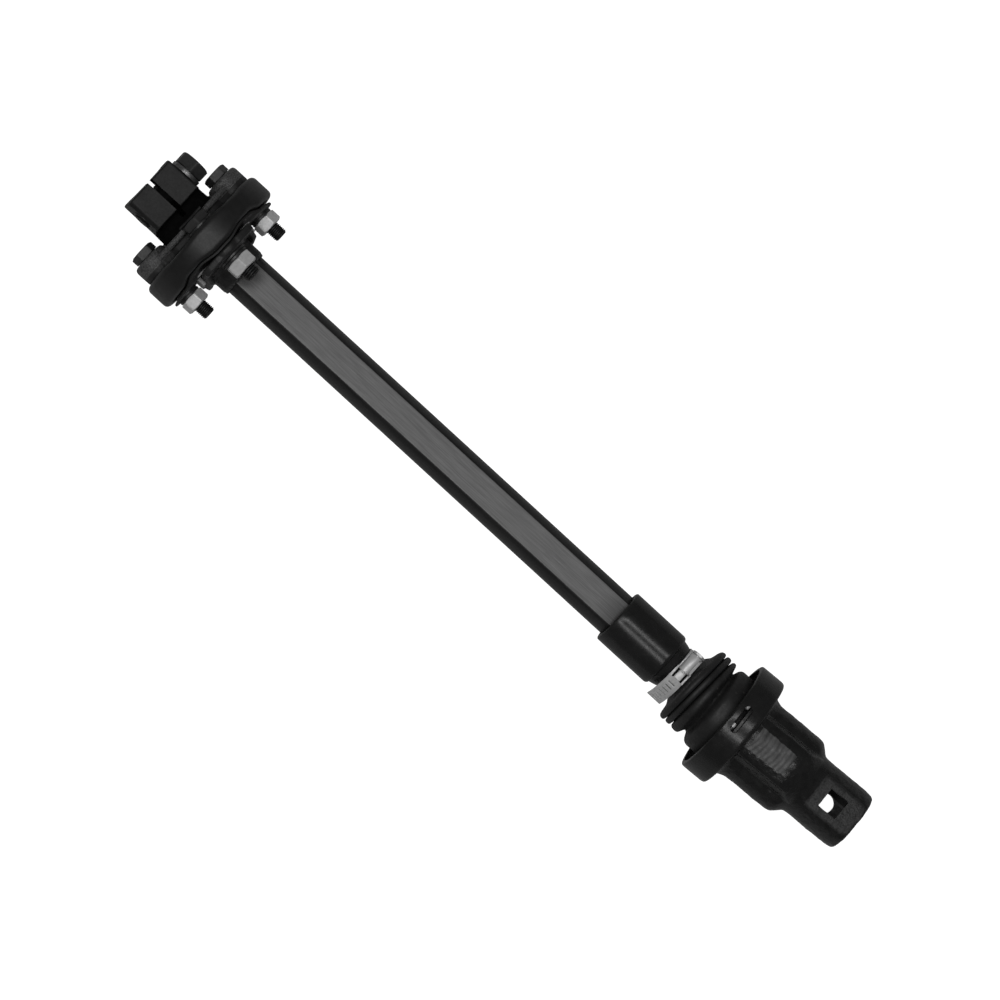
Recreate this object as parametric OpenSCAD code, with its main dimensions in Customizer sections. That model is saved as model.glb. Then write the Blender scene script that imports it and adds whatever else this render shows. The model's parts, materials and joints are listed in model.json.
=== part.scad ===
// Steering intermediate shaft with a flexible disc coupling at the gear end, a
// double-D telescoping tube, and a booted pot-type universal joint at the column end.
// X runs along the shaft from the gear end, the pinch slot faces +Z, millimetres.

/* [Steering tube] */
// Diameter over the round sides of the double-D tube
tube_d = 25.4; // [25:0.1:26]
// Distance across the two flats of the tube
tube_flats = 20.3; // [20:0.1:21.5]
// Wall thickness of the tube
tube_wall = 3; // [2.6:0.1:3.2]
// Where the tube starts, inside the flange hub
tube_start = 60; // [59.8:0.1:61]
// Where the tube ends, inside the slip collar
tube_end = 350; // [348:0.5:351]
// Diameter of the slip collar
collar_d = 32.4; // [31.5:0.1:34]

/* [Gear clamp] */
// Radius of the bore that grips the steering gear's splined shaft
gear_bore_r = 10.3; // [9.5:0.05:10.4]
// Radius of the clamp hub
clamp_r = 16.75; // [16.5:0.05:17.5]
// Length of the split clamp
clamp_len = 23.2; // [22:0.1:24]
// Width of the split
slot_w = 3; // [2:0.1:4]
// Height of the clamp's flat front above the axis
lug_top = 23.5; // [22.5:0.1:25]
// Height of the pinch bolt above the axis
pinch_z = 16.4; // [16.3:0.05:17]
// Where the pinch bolt lies along the shaft
pinch_x = 13; // [12:0.1:14]
// Radius of the pinch bolt's shank
pinch_r = 5.5; // [5:0.05:5.6]
// Distance from the axis to the face that the pinch bolt's washer seats on
pinch_seat = 15; // [14.5:0.1:16.5]

/* [Flexible coupling] */
// Diameter of the rubber disc
disc_d = 82.6; // [80:0.1:84]
// Thickness of the rubber disc
disc_t = 14.8; // [14:0.1:15]
// Diameter of the backing layer on the disc's shaft side
backing_d = 74.6; // [72:0.1:76]
// Radius of the circle that the four coupling bolts lie on
bolt_circle_r = 28.3; // [28:0.05:28.6]
// Radius of the two bolts that hold the gear-side flange
flange_bolt_r = 3.97; // [3.9:0.01:4]
// Radius of the two bolts that hold the shaft-side flange
shaft_bolt_r = 4.76; // [4.7:0.01:4.8]

/* [Universal joint] */
// Where the joint's centre lies along the shaft
pivot_x = 444.4; // [443:0.1:446]
// Angle at which the housing rests, about Z
rest_tilt = 2.9; // [0:0.1:4]
// Radius of the ball on the inner shaft
ball_r = 14.5; // [14:0.1:14.6]
// Radius of the cross pin
pin_r = 4.75; // [4.5:0.05:4.8]
// Outer diameter of the housing's rim
rim_d = 68.2; // [67.5:0.1:70]
// Radius of the column shaft's bore
column_bore_r = 12.75; // [12:0.05:13]

/* [Hidden] */

round_fn = 96;
small_fn = 48;
hex_fn = 6;
e = 0.1;

// Stations along the shaft, gear end to column end
web_x = [31.4, 38.6];
pad_x = [27.5, 38.6];
disc_x = 38.8;
disc_end = disc_x + disc_t;
backing_x = [disc_end + 0.1, disc_end + 1.7];
shaft_flange_x = [backing_x[1] + 0.1, 59.6];
hub_end = 70;
weld_end = 71.6;
collar_x = [340.2, 376.2];
collar_floor = 373.5;
neck_end = 397;
boot_start = 381.2;

// Coupling bolts
flange_head = [22.5, 12.7];
flange_nut_x = [58.2, 65];
flange_bolt_end = 72.2;
shaft_head = [32.4, 14.3];
shaft_boss_x = 60.6;
shaft_nut_x = [63.7, 71.2];
shaft_bolt_end = 76.7;
shaft_head_end = 37.3;
pinch_head = [7, 17];
washer_t = 2.7;
sleeve_r = 5.5;
nut_turn = 15;

// Inner shaft, sliding in the tube
rod_start = 250;
bore_d = tube_d - 2 * tube_wall;
bore_flats = tube_flats - 2 * tube_wall + 0.3;
rod_gap = 0.1;
rod_r = bore_d / 2 - rod_gap;
rod_flats = bore_flats - 3 * rod_gap;
neck_r = 10.4;
shank_r = 8.6;
ball_flat = 12.9;

// Joint housing, measured from the joint's centre
rim_t = [-26.8, -11.4];
mouth_r = 31;
mouth_floor = -16;
barrel_r = 24.5;
barrel_flat = 23.5;
barrel_flat_t = [-7.7, 15.7];
band_half = 12.5;
lobe_r = 13.5;
lobe_y = 10.5;
lobe_end = 18.5;
cavity_r = 16.2;
entry_r = 20;
entry_floor = -9;
cavity_floor = 20;
track_half = 8.05;
track_wide = 17.3;
track_narrow = 4.7;
track_reach = 19.4;
stub_r = 18;
stub_flat = 15.5;
stub_t = [24, 64.2];
column_bore_floor = 34.2;
column_bolt_t = 47.5;
square_hole = 11.6;
column_bolt_r = 5.3;
pocket_r = 9.9;
pocket_floor = 27;
snap_t = [-23.2, -20.8];
snap_slot_t = [-23.2, -18.4];
snap_slot_len = 17;
snap_slot_y = 1.6;
snap_gap = [-1.8, 7.5];

// ---- helpers ----

// Turns a shape drawn along Z so that it runs along X from x
module along_x(x = 0) {
    translate([x, 0, 0]) rotate([0, 90, 0]) children();
}

module rod(x0, x1, r, fn = round_fn) {
    along_x(x0) cylinder(h = x1 - x0, r = r, $fn = fn);
}

module pipe(x0, x1, outer, inner, fn = round_fn) {
    difference() {
        rod(x0, x1, outer, fn);
        rod(x0 - e, x1 + e, inner, fn);
    }
}

module hexagon(x0, x1, across_flats, turn = 0) {
    along_x(x0) rotate([0, 0, turn])
        cylinder(h = x1 - x0, d = across_flats / cos(30), $fn = hex_fn);
}

// Double-D section: a circle with two flats that face +Z and -Z
module double_d(d, flats) {
    intersection() {
        circle(d = d, $fn = round_fn);
        square([flats, d + 1], center = true);
    }
}

module dd_bar(x0, x1, d, flats) {
    along_x(x0) linear_extrude(x1 - x0) double_d(d, flats);
}

// The two coupling bolts on the Y axis, and the two on the Z axis
module at_flange_bolts() {
    for (side = [-1, 1]) translate([0, side * bolt_circle_r, 0]) children();
}

module at_shaft_bolts() {
    for (side = [-1, 1]) translate([0, 0, side * bolt_circle_r]) children();
}

// Places children in the joint housing's own frame, with X along its axis
module in_housing() {
    translate([pivot_x, 0, 0]) rotate([0, 0, rest_tilt]) children();
}

// ---- gear side ----

lug_draft = 2.4;
neck_top = 11.8;
web_half = 17.2;
web_shoulder = [15, 16];
web_end = 9.5;

module clamp_outline() {
    circle(r = clamp_r, $fn = round_fn);
    translate([-lug_top / 2, 0]) square([lug_top, 2 * clamp_r - 0.6], center = true);
}

// Lens-shaped web between the two pads, widest at the axis
module web_outline() {
    polygon([
        [-web_half, 0], [-web_shoulder[0], web_shoulder[1]], [-web_end, bolt_circle_r],
        [web_end, bolt_circle_r], [web_shoulder[0], web_shoulder[1]], [web_half, 0],
        [web_shoulder[0], -web_shoulder[1]], [web_end, -bolt_circle_r],
        [-web_end, -bolt_circle_r], [-web_shoulder[0], -web_shoulder[1]]
    ]);
}

// What is taken off the clamp's front above the axis, and off the neck above and below it
module flange_slopes() {
    rotate([90, 0, 0]) linear_extrude(4 * clamp_r, center = true) {
        polygon([[-1, 0], [0, 0], [lug_draft, lug_top], [lug_draft, lug_top + 1], [-1, lug_top + 1]]);
        for (side = [-1, 1]) polygon([
            [clamp_len, side * (clamp_r + 1)], [clamp_len, side * clamp_r],
            [web_x[0], side * neck_top], [web_x[0], side * (clamp_r + 1)]
        ]);
    }
}

module coupling_flange() color("#3a3a3b") difference() {
    union() {
        along_x() linear_extrude(clamp_len) clamp_outline();
        rod(clamp_len - e, web_x[0] + e, clamp_r + 0.6);
        along_x(web_x[0]) linear_extrude(web_x[1] - web_x[0]) web_outline();
        at_flange_bolts() rod(pad_x[0], pad_x[1], 10.1);
    }
    rod(-e, pad_x[1], gear_bore_r);
    translate([-e, -slot_w / 2, 0]) cube([pad_x[0], slot_w, lug_top + e]);
    flange_slopes();
    translate([-e, pinch_seat, pinch_z - 12]) cube([clamp_len + e, 5, 24]);
    along_pinch() cylinder(h = 4 * clamp_r, r = pinch_r + 0.1, center = true, $fn = small_fn);
    at_flange_bolts() rod(pad_x[0] - e, pad_x[1] + e, flange_bolt_r + 0.15, small_fn);
}

module along_pinch() {
    translate([pinch_x, 0, pinch_z]) rotate([-90, 0, 0]) children();
}

module pinch_bolt() color("#303031") along_pinch() {
    head_y = pinch_seat + washer_t + 0.1;
    translate([0, 0, -clamp_r - 1.8]) cylinder(h = clamp_r + 1.8 + head_y, r = pinch_r, $fn = small_fn);
    translate([0, 0, head_y]) cylinder(h = pinch_head[0], d = pinch_head[1] / cos(30), $fn = hex_fn);
}

module pinch_lock_washer() color("#6a6a6c") along_pinch() translate([0, 0, pinch_seat + 0.05]) difference() {
    cylinder(h = washer_t, r = 8.8, $fn = small_fn);
    translate([0, 0, -e]) cylinder(h = washer_t + 2 * e, r = pinch_r + 0.15, $fn = small_fn);
    translate([0, -9, -e]) cube([10, 1.2, washer_t + 2 * e]);
}

module flange_bolts() color("#2a2a2b") at_flange_bolts() {
    hexagon(flange_head[0], pad_x[0], flange_head[1]);
    rod(pad_x[0] - e, flange_bolt_end, flange_bolt_r, small_fn);
}

// Shouldered sleeves that carry the clamp load through the rubber
module flange_bolt_sleeves() color("#1e1e1f") at_flange_bolts() difference() {
    union() {
        rod(pad_x[1], backing_x[1] + 0.6, sleeve_r, small_fn);
        rod(backing_x[1] + 0.5, 56.8, 6.3, small_fn);
    }
    rod(pad_x[1] - e, 57, flange_bolt_r + 0.1, small_fn);
}

module flange_bolt_washers() color("#262627") at_flange_bolts()
    pipe(56.8, flange_nut_x[0], 6.5, flange_bolt_r + 0.1, small_fn);

module nut(x, across_flats, bolt_r, turn) {
    difference() {
        hexagon(x[0], x[1], across_flats, turn);
        rod(x[0] - e, x[1] + e, bolt_r + 0.05, small_fn);
    }
}

module flange_bolt_nuts() color("#c4c4c8") at_flange_bolts()
    nut(flange_nut_x, 12.7, flange_bolt_r, nut_turn);

// ---- flexible disc ----

module disc_holes(x0, x1) {
    at_flange_bolts() rod(x0 - e, x1 + e, sleeve_r + 0.15, small_fn);
    at_shaft_bolts() rod(x0 - e, x1 + e, shaft_bolt_r + 0.15, small_fn);
}

module coupling_disc() color("#232324") difference() {
    edge = 1.6;
    along_x(disc_x) rotate_extrude($fn = round_fn) polygon([
        [12, 0], [disc_d / 2 - edge, 0], [disc_d / 2, edge],
        [disc_d / 2, disc_t - edge], [disc_d / 2 - edge, disc_t], [12, disc_t]
    ]);
    disc_holes(disc_x, disc_end);
}

stop_half = 20.2;
stop_wall = 2.2;
stop_end = 60;
stop_tab = 8.5;

module disc_backing_layer() color("#1c1c1d") difference() {
    pipe(backing_x[0], backing_x[1], backing_d / 2, 12);
    disc_holes(backing_x[0], backing_x[1]);
    translate([backing_x[0] - e, -stop_half - 0.2, -stop_half]) cube([3, 2 * stop_half + 0.4, 2 * stop_half]);
}

// ---- shaft side ----

module shaft_flange() color("#2a2a2b") {
    half_w = 17.9;
    rib = 3.4;
    rib_end = 63.2;
    difference() {
        union() {
            intersection() {
                union() {
                    translate([shaft_flange_x[0], -half_w, -38])
                        cube([shaft_flange_x[1] - shaft_flange_x[0], 2 * half_w, 76]);
                    for (side = [-1, 1])
                        translate([shaft_flange_x[0], side * (half_w - rib / 2) - rib / 2, -18])
                            cube([rib_end - shaft_flange_x[0], rib, 36]);
                }
                rod(shaft_flange_x[0], rib_end, 38.5);
            }
            at_shaft_bolts() rod(shaft_flange_x[1] - e, shaft_boss_x, 8.6);
            rod(shaft_flange_x[1] - e, hub_end, 14.4);
            along_x(hub_end) cylinder(h = weld_end - hub_end, r1 = 14.4, r2 = 13, $fn = round_fn);
        }
        dd_bar(tube_start - 0.1, weld_end + e, tube_d + 0.1, tube_flats + 0.1);
        at_shaft_bolts() rod(shaft_flange_x[0] - e, shaft_boss_x + e, shaft_bolt_r + 0.12, small_fn);
    }
}

// Channel whose side walls meet the gear-side bolts if the rubber fails
module stop_plate() color("#9c9c9e") difference() {
    translate([backing_x[0], -stop_half, -stop_half + 0.2])
        cube([stop_end - backing_x[0], 2 * stop_half, 2 * stop_half - 0.4]);
    inner = stop_half - stop_wall;
    translate([shaft_flange_x[0] - 0.05, -inner, -stop_half]) cube([8, 2 * inner, 2 * stop_half]);
    for (side = [-1, 1])
        translate([shaft_flange_x[0] - 0.05, -stop_half - e, side > 0 ? stop_tab : -stop_half])
            cube([8, 2 * stop_half + 2 * e, stop_half - stop_tab]);
    rod(backing_x[0] - e, shaft_flange_x[0] + e, 9);
    translate([57, 0, 3]) rotate([-90, 0, 0]) cylinder(h = stop_half + 1, r = 1.2, $fn = small_fn);
}

module shaft_bolts() color("#2a2a2b") at_shaft_bolts() {
    hexagon(shaft_head[0], shaft_head_end, shaft_head[1], 30);
    rod(shaft_head_end - e, shaft_bolt_end, shaft_bolt_r, small_fn);
}

module shaft_bolt_washers() color("#4a4a4b") at_shaft_bolts() {
    pipe(shaft_head_end, disc_x, 8.4, shaft_bolt_r + 0.1, small_fn);
    pipe(shaft_boss_x, shaft_nut_x[0], 7.9, shaft_bolt_r + 0.1, small_fn);
}

module shaft_bolt_nuts() color("#c4c4c8") at_shaft_bolts()
    nut(shaft_nut_x, 14.3, shaft_bolt_r, 30);

module steering_tube() color("#303031") difference() {
    dd_bar(tube_start, tube_end, tube_d, tube_flats);
    dd_bar(tube_start - e, tube_end + e, bore_d, bore_flats);
}

// ---- joint shaft ----

module slip_collar() color("#2a2a2b") difference() {
    union() {
        rod(collar_x[0], collar_x[1], collar_d / 2);
        along_x(collar_x[1]) cylinder(h = 4.8, r1 = 14.6, r2 = 13.2, $fn = round_fn);
    }
    dd_bar(collar_x[0] - e, collar_floor, tube_d + 0.3, tube_flats + 0.3);
    rod(collar_floor - e, collar_x[1] + 6, neck_r + 0.05);
}

// Outline of the turned part of the inner shaft: neck, shank and ball
module turned_outline() {
    polygon([
        [0, collar_floor - e], [neck_r, collar_floor - e], [neck_r, neck_end],
        [shank_r, neck_end + 6], [shank_r, pivot_x], [0, pivot_x]
    ]);
    translate([0, pivot_x]) intersection() {
        circle(r = ball_r, $fn = round_fn);
        translate([0, -ball_r]) square(2 * ball_r);
    }
}

module inner_shaft() color("#8d8d90") difference() {
    union() {
        dd_bar(rod_start, collar_floor, 2 * rod_r, rod_flats);
        rotate_extrude_x() turned_outline();
    }
    for (side = [-1, 1]) translate([pivot_x - 20, side > 0 ? ball_flat : -ball_flat - 5, -20]) cube([40, 5, 40]);
    translate([pivot_x, -20, 0]) rotate([-90, 0, 0]) cylinder(h = 40, r = pin_r + 0.03, $fn = small_fn);
}

module cross_pin() color("#b8b8bc") translate([pivot_x, -18, 0]) rotate([-90, 0, 0])
    cylinder(h = 36, r = pin_r, $fn = small_fn);

band_r = 13.1;
band_t = 0.7;
band_x = [381.3, 389.1];
worm_y = [-0.4, 11.2];
worm_r = 2.6;
tail_turn = 52;
tail_len = 11;
tail_sink = 0.4;

// Worm-drive hose clamp: slotted band with its free tail, housing and screw
module clamp_band() color("#c9c9cc") {
    pipe(band_x[0], band_x[1], band_r + band_t, band_r);
    rotate([tail_turn, 0, 0]) translate([band_x[0] - 0.6, -tail_len, band_r + band_t - tail_sink])
        cube([band_x[1] - band_x[0], tail_len + 2, band_t]);
}

module along_screw() {
    translate([(band_x[0] + band_x[1]) / 2, 0, band_r + band_t + 3.4]) rotate([-90, 0, 0]) children();
}

module clamp_housing() color("#d6d6d8") difference() {
    translate([band_x[0] - 0.4, worm_y[0], band_r + band_t + 0.1]) cube([8.6, worm_y[1] - worm_y[0], 6.4]);
    along_screw() cylinder(h = 50, r = worm_r + 0.1, center = true, $fn = small_fn);
}

module clamp_screw() color("#b4b4b8") along_screw() {
    translate([0, 0, worm_y[0] + 0.4]) cylinder(h = worm_y[1] - worm_y[0] - 0.1, r = worm_r, $fn = small_fn);
    translate([0, 0, worm_y[1] + 0.1]) cylinder(h = 1.5, d = 7 / cos(30), $fn = hex_fn);
}

// Rubber boot: sleeve on the neck, three tight folds, then the skirt into the housing
module boot() color("#1d1d1e") {
    rotate_extrude_x() polygon([
        [neck_r + 0.1, boot_start], [13, boot_start], [13, 390.2], [16, 391.4], [19, 392.6],
        [23.6, 393.8], [24, 395.2], [23.4, 396.8], [21, 397.2], [23.4, 397.6], [23.8, 399.2],
        [23.2, 401], [20.4, 401.4], [23.2, 402], [23.7, 403.8], [22.9, 405.4],
        [19.6, 406.8], [19.6, 408.6], [23.5, 411.4],
        [21, 411.4], [17.4, 408.8], [17.4, 406.2], [20, 404.4], [20, 400], [20, 395.6],
        [17, 393.4], [neck_r + 0.1, 391.8]
    ]);
    in_housing() rotate_extrude_x() polygon([
        [22.4, -34.4], [24.4, -33.2], [24.8, -30], [24.8, -27], [22.2, -24], [22.2, -18.5],
        [30.8, -18.5], [30.8, -16.1], [20, -16.1], [20, -23], [21, -30], [19.4, -34.6]
    ]);
}

// Turns an outline of [radius, station] points about the X axis
module rotate_extrude_x() {
    rotate([0, 90, 0]) rotate_extrude($fn = round_fn) children();
}

// ---- universal joint ----

block_inner = 13.2;
block_half = [7, 7.8];
crown_r = [16.9, 19];
crown_half = 4.4;

// Barrel-shaped outside, so that the block tilts in its track without binding
module bearing_block(side) color("#b58a4a") translate([pivot_x, 0, 0]) difference() {
    intersection() {
        translate([-block_half[0], side > 0 ? block_inner : -20, -block_half[1]])
            cube([2 * block_half[0], 20 - block_inner, 2 * block_half[1]]);
        rotate_extrude($fn = round_fn) polygon([
            [0, -block_half[1] - e], [crown_r[0], -block_half[1] - e], [crown_r[1], -crown_half],
            [crown_r[1], crown_half], [crown_r[0], block_half[1] + e], [0, block_half[1] + e]
        ]);
    }
    translate([0, -25, 0]) rotate([-90, 0, 0]) cylinder(h = 50, r = pin_r + 0.07, $fn = small_fn);
}

module bearing_block_left() bearing_block(1);

module bearing_block_right() bearing_block(-1);

seat_t = [9, 17];
seat_r = 9.5;

module thrust_seat() color("#d9d2c0") in_housing() difference() {
    rod(seat_t[0], seat_t[1], seat_r, small_fn);
    sphere(r = ball_r + 0.3, $fn = round_fn);
}

// Section of the barrel: a round band above and below, and a lobe over each track
module housing_section() {
    intersection() {
        circle(r = barrel_r, $fn = round_fn);
        square([2 * barrel_r, 2 * band_half], center = true);
    }
    for (side = [-1, 1]) translate([0, side * lobe_y]) circle(r = lobe_r, $fn = round_fn);
}

// A short cylinder that ends in a cone
module tapered_end(x0, x1, x2, r1, r2) {
    rotate_extrude_x() polygon([[0, x0], [r1, x0], [r1, x1], [r2, x2], [0, x2]]);
}

module track_section() {
    polygon([
        for (side = [1, -1]) each [
            [side * track_half, -side * track_wide], [side * track_half, side * track_wide],
            [side * track_narrow, side * track_reach], [-side * track_narrow, side * track_reach]
        ]
    ]);
}

module pot_housing() color("#262627") in_housing() difference() {
    union() {
        rod(rim_t[0], rim_t[1], rim_d / 2);
        along_x(rim_t[1] - e) linear_extrude(lobe_end - rim_t[1] + 2 * e) housing_section();
        for (side = [-1, 1]) translate([0, side * lobe_y, 0])
            tapered_end(lobe_end, lobe_end + 6, lobe_end + 11, lobe_r - 0.3, 8);
        intersection() {
            tapered_end(lobe_end, lobe_end + 4, stub_t[0] + 10, barrel_r - 0.3, stub_flat + 0.4);
            translate([lobe_end - e, 0.3 - band_half, -30]) cube([30, 2 * band_half - 0.6, 60]);
        }
        tapered_end(lobe_end + 1, stub_t[0] + 1, stub_t[0] + 7, stub_r + 2.6, stub_r + 0.3);
        intersection() {
            rod(stub_t[0], stub_t[1], stub_r);
            translate([0, -stub_r - e, -stub_flat]) cube([stub_t[1] + e, 2 * stub_r + 2 * e, 2 * stub_flat]);
        }
    }
    for (side = [-1, 1])
        translate([barrel_flat_t[0], -band_half - e, side > 0 ? barrel_flat : -barrel_flat - 3])
            cube([barrel_flat_t[1] - barrel_flat_t[0], 2 * band_half + 2 * e, 3]);
    rod(rim_t[0] - e, mouth_floor, mouth_r);
    rod(snap_t[0] - 0.2, snap_t[1] + 0.2, mouth_r + 1.7);
    snap_slot();
    rod(mouth_floor - e, cavity_floor, cavity_r);
    tapered_end(mouth_floor - e, mouth_floor, entry_floor, entry_r, cavity_r);
    along_x(mouth_floor - e) linear_extrude(cavity_floor - mouth_floor + e) track_section();
    rod(cavity_floor - e, pocket_floor, pocket_r);
    rod(column_bore_floor, stub_t[1] + e, column_bore_r);
    translate([column_bolt_t - square_hole / 2, -square_hole / 2, 5]) cube([square_hole, square_hole, 14]);
    translate([column_bolt_t, 0, -stub_r - e]) cylinder(h = stub_r, r = column_bolt_r, $fn = small_fn);
}

// Obround window over the ends of the snap ring
module snap_slot() {
    width = snap_slot_t[1] - snap_slot_t[0];
    middle = (snap_slot_t[0] + snap_slot_t[1]) / 2;
    reach = (snap_slot_len - width) / 2;
    for (y = [snap_slot_y - reach, snap_slot_y + reach])
        translate([middle, y, mouth_r - 3]) cylinder(h = 8, d = width, $fn = small_fn);
    translate([snap_slot_t[0], snap_slot_y - reach, mouth_r - 3]) cube([width, 2 * reach, 8]);
}

module boot_retainer() color("#505052") in_housing() pipe(-20.1, -18.6, mouth_r - 0.1, 22.5);

module snap_ring() color("#c8c8cc") in_housing() difference() {
    pipe(snap_t[0], snap_t[1], mouth_r + 1.5, mouth_r - 1.4);
    translate([snap_t[0] - e, snap_gap[0], 20]) cube([3, snap_gap[1] - snap_gap[0], 20]);
}

// Sealed in the housing: the outer shape of the coil spring behind the seat
module centering_spring() color("#8a8a8c") in_housing() pipe(seat_t[1] + 0.1, pocket_floor - 0.1, 7.2, 5.4, small_fn);

coupling_flange();
pinch_bolt();
pinch_lock_washer();
flange_bolts();
flange_bolt_sleeves();
flange_bolt_washers();
flange_bolt_nuts();
coupling_disc();
disc_backing_layer();
shaft_flange();
stop_plate();
shaft_bolts();
shaft_bolt_washers();
shaft_bolt_nuts();
steering_tube();
slip_collar();
inner_shaft();
cross_pin();
clamp_band();
clamp_housing();
clamp_screw();
boot();
bearing_block_left();
bearing_block_right();
thrust_seat();
pot_housing();
boot_retainer();
snap_ring();
centering_spring();
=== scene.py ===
"""Looks of the steering intermediate shaft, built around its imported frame.

Lengths are millimetres until a mesh is made. Turned shapes run along X."""

import json
import math

import bmesh
import bpy
from mathutils import Matrix, Vector, noise


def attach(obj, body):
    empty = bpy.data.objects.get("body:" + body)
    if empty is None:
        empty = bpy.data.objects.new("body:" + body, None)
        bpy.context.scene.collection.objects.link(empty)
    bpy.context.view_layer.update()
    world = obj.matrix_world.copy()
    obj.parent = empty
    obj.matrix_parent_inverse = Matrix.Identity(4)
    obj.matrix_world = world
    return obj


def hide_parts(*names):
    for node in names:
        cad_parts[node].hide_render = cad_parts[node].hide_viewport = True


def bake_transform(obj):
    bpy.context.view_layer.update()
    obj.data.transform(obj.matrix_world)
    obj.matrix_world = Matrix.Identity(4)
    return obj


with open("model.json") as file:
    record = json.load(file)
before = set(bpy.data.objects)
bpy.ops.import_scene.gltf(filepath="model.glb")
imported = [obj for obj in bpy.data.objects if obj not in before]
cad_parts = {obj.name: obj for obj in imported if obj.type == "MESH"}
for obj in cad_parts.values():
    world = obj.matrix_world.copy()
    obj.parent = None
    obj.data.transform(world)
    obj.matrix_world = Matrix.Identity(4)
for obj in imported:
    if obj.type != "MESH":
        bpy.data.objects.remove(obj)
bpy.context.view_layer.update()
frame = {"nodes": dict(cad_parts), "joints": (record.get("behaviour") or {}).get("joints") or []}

MM = 0.001
TURN = 96
TAN30 = math.tan(math.radians(30))
HERE = Matrix.Identity(4)


# ---- places taken from the frame ----

def joint(name):
    return next(j for j in frame["joints"] if j["name"] == name)


PIVOT = Vector(joint("pin_swing")["pos_m"]) / MM
TILT = math.atan2(joint("plunge")["axis"][1], joint("plunge")["axis"][0])
HOUSING = Matrix.Translation(PIVOT) @ Matrix.Rotation(TILT, 4, "Z")


# ---- mesh building ----

def make(name, verts, faces, place=HERE, sharp=32):
    """A mesh object from points in millimetres, with outward normals and edges sharp above an angle."""
    mesh = bpy.data.meshes.new(name)
    mesh.from_pydata([(place @ Vector(v)) * MM for v in verts], [], faces)
    obj = bpy.data.objects.new(name, mesh)
    bpy.context.scene.collection.objects.link(obj)
    tidy(obj, sharp)
    return obj


def tidy(obj, sharp=32):
    work = bmesh.new()
    work.from_mesh(obj.data)
    bmesh.ops.recalc_face_normals(work, faces=work.faces)
    work.to_mesh(obj.data)
    work.free()
    obj.data.shade_smooth()
    if sharp < 180:
        obj.data.set_sharp_from_angle(angle=math.radians(sharp))


def at_angle(value, angle):
    return value(angle) if callable(value) else value


def turned(name, rows, place=HERE, closed=False, count=TURN, sharp=32, angles=None):
    """Rings about X: a row is (x, r), each a number or a function of the angle.

    A closed outline joins its last ring to its first."""
    angles = angles or [2 * math.pi * k / count for k in range(count)]
    count = len(angles)
    verts = []
    rings = []
    for x, r in rows:
        if not callable(r) and r < 1e-6:
            rings.append([len(verts)])
            verts.append((at_angle(x, 0), 0, 0))
            continue
        rings.append(list(range(len(verts), len(verts) + count)))
        for a in angles:
            radius = at_angle(r, a)
            verts.append((at_angle(x, a), radius * math.cos(a), radius * math.sin(a)))
    pairs = list(zip(rings, rings[1:])) + ([(rings[-1], rings[0])] if closed else [])
    faces = []
    for one, two in pairs:
        for k in range(count):
            n = (k + 1) % count
            if len(one) == 1 and len(two) == 1:
                break
            if len(one) == 1:
                faces.append((one[0], two[k], two[n]))
            elif len(two) == 1:
                faces.append((one[k], two[0], one[n]))
            else:
                faces.append((one[k], two[k], two[n], one[n]))
    return make(name, verts, faces, place, sharp)


def rounded(points, closed=True, steps=5):
    """Replaces each corner (x, r, fillet) by a small arc."""
    out = []
    count = len(points)
    for i, (x, y, fillet) in enumerate(points):
        here = Vector((x, y))
        if fillet <= 0 or (not closed and i in (0, count - 1)):
            out.append((x, y))
            continue
        back = Vector(points[i - 1][:2]) - here
        ahead = Vector(points[(i + 1) % count][:2]) - here
        reach = min(fillet, back.length * 0.49, ahead.length * 0.49)
        a = here + back.normalized() * reach
        b = here + ahead.normalized() * reach
        for k in range(steps + 1):
            t = k / steps
            p = a * (1 - t) ** 2 + here * 2 * t * (1 - t) + b * t * t
            out.append((p.x, p.y))
    return out


def prism(name, outline, lo, hi, axis="X", edge=0.0, place=HERE, sharp=32):
    """An outline of 2D points drawn out along an axis: (y, z) along X, (x, z) along Y, (x, y) along Z."""
    def point(p, h):
        return {"X": (h, p[0], p[1]), "Y": (p[0], h, p[1]), "Z": (p[0], p[1], h)}[axis]
    count = len(outline)
    verts = [point(p, lo) for p in outline] + [point(p, hi) for p in outline]
    faces = [tuple(range(count)), tuple(range(count, 2 * count))]
    faces += [(k, (k + 1) % count, (k + 1) % count + count, k + count) for k in range(count)]
    obj = make(name, verts, faces, place, sharp)
    if edge:
        bevel(obj, edge, sharp=sharp)
    return obj


def brick(name, lo, hi, edge=0.0, place=HERE, segments=2):
    outline = [(lo[0], lo[1]), (hi[0], lo[1]), (hi[0], hi[1]), (lo[0], hi[1])]
    obj = prism(name, outline, lo[2], hi[2], "Z", 0.0, place)
    if edge:
        bevel(obj, edge, segments)
    return obj


def rod(name, x0, x1, r, place=HERE, edge=0.0, count=TURN):
    points = [(x0, 0, 0), (x0, r, edge), (x1, r, edge), (x1, 0, 0)]
    return turned(name, rounded(points, closed=False), place, count=count)


def pipe(name, x0, x1, outer, inner, place=HERE, edge=0.2, count=TURN):
    points = [(x0, inner, edge), (x0, outer, edge), (x1, outer, edge), (x1, inner, edge)]
    return turned(name, rounded(points), place, closed=True, count=count)


def apply_modifiers(obj):
    graph = bpy.context.evaluated_depsgraph_get()
    mesh = bpy.data.meshes.new_from_object(obj.evaluated_get(graph))
    old = obj.data
    obj.modifiers.clear()
    obj.data = mesh
    bpy.data.meshes.remove(old)
    return obj


def bevel(obj, width, segments=2, angle=32, sharp=32):
    mod = obj.modifiers.new("bevel", "BEVEL")
    mod.width = width * MM
    mod.segments = segments
    mod.limit_method = "ANGLE"
    mod.angle_limit = math.radians(angle)
    apply_modifiers(obj)
    obj.data.shade_smooth()
    obj.data.set_sharp_from_angle(angle=math.radians(sharp))
    return obj


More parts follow.
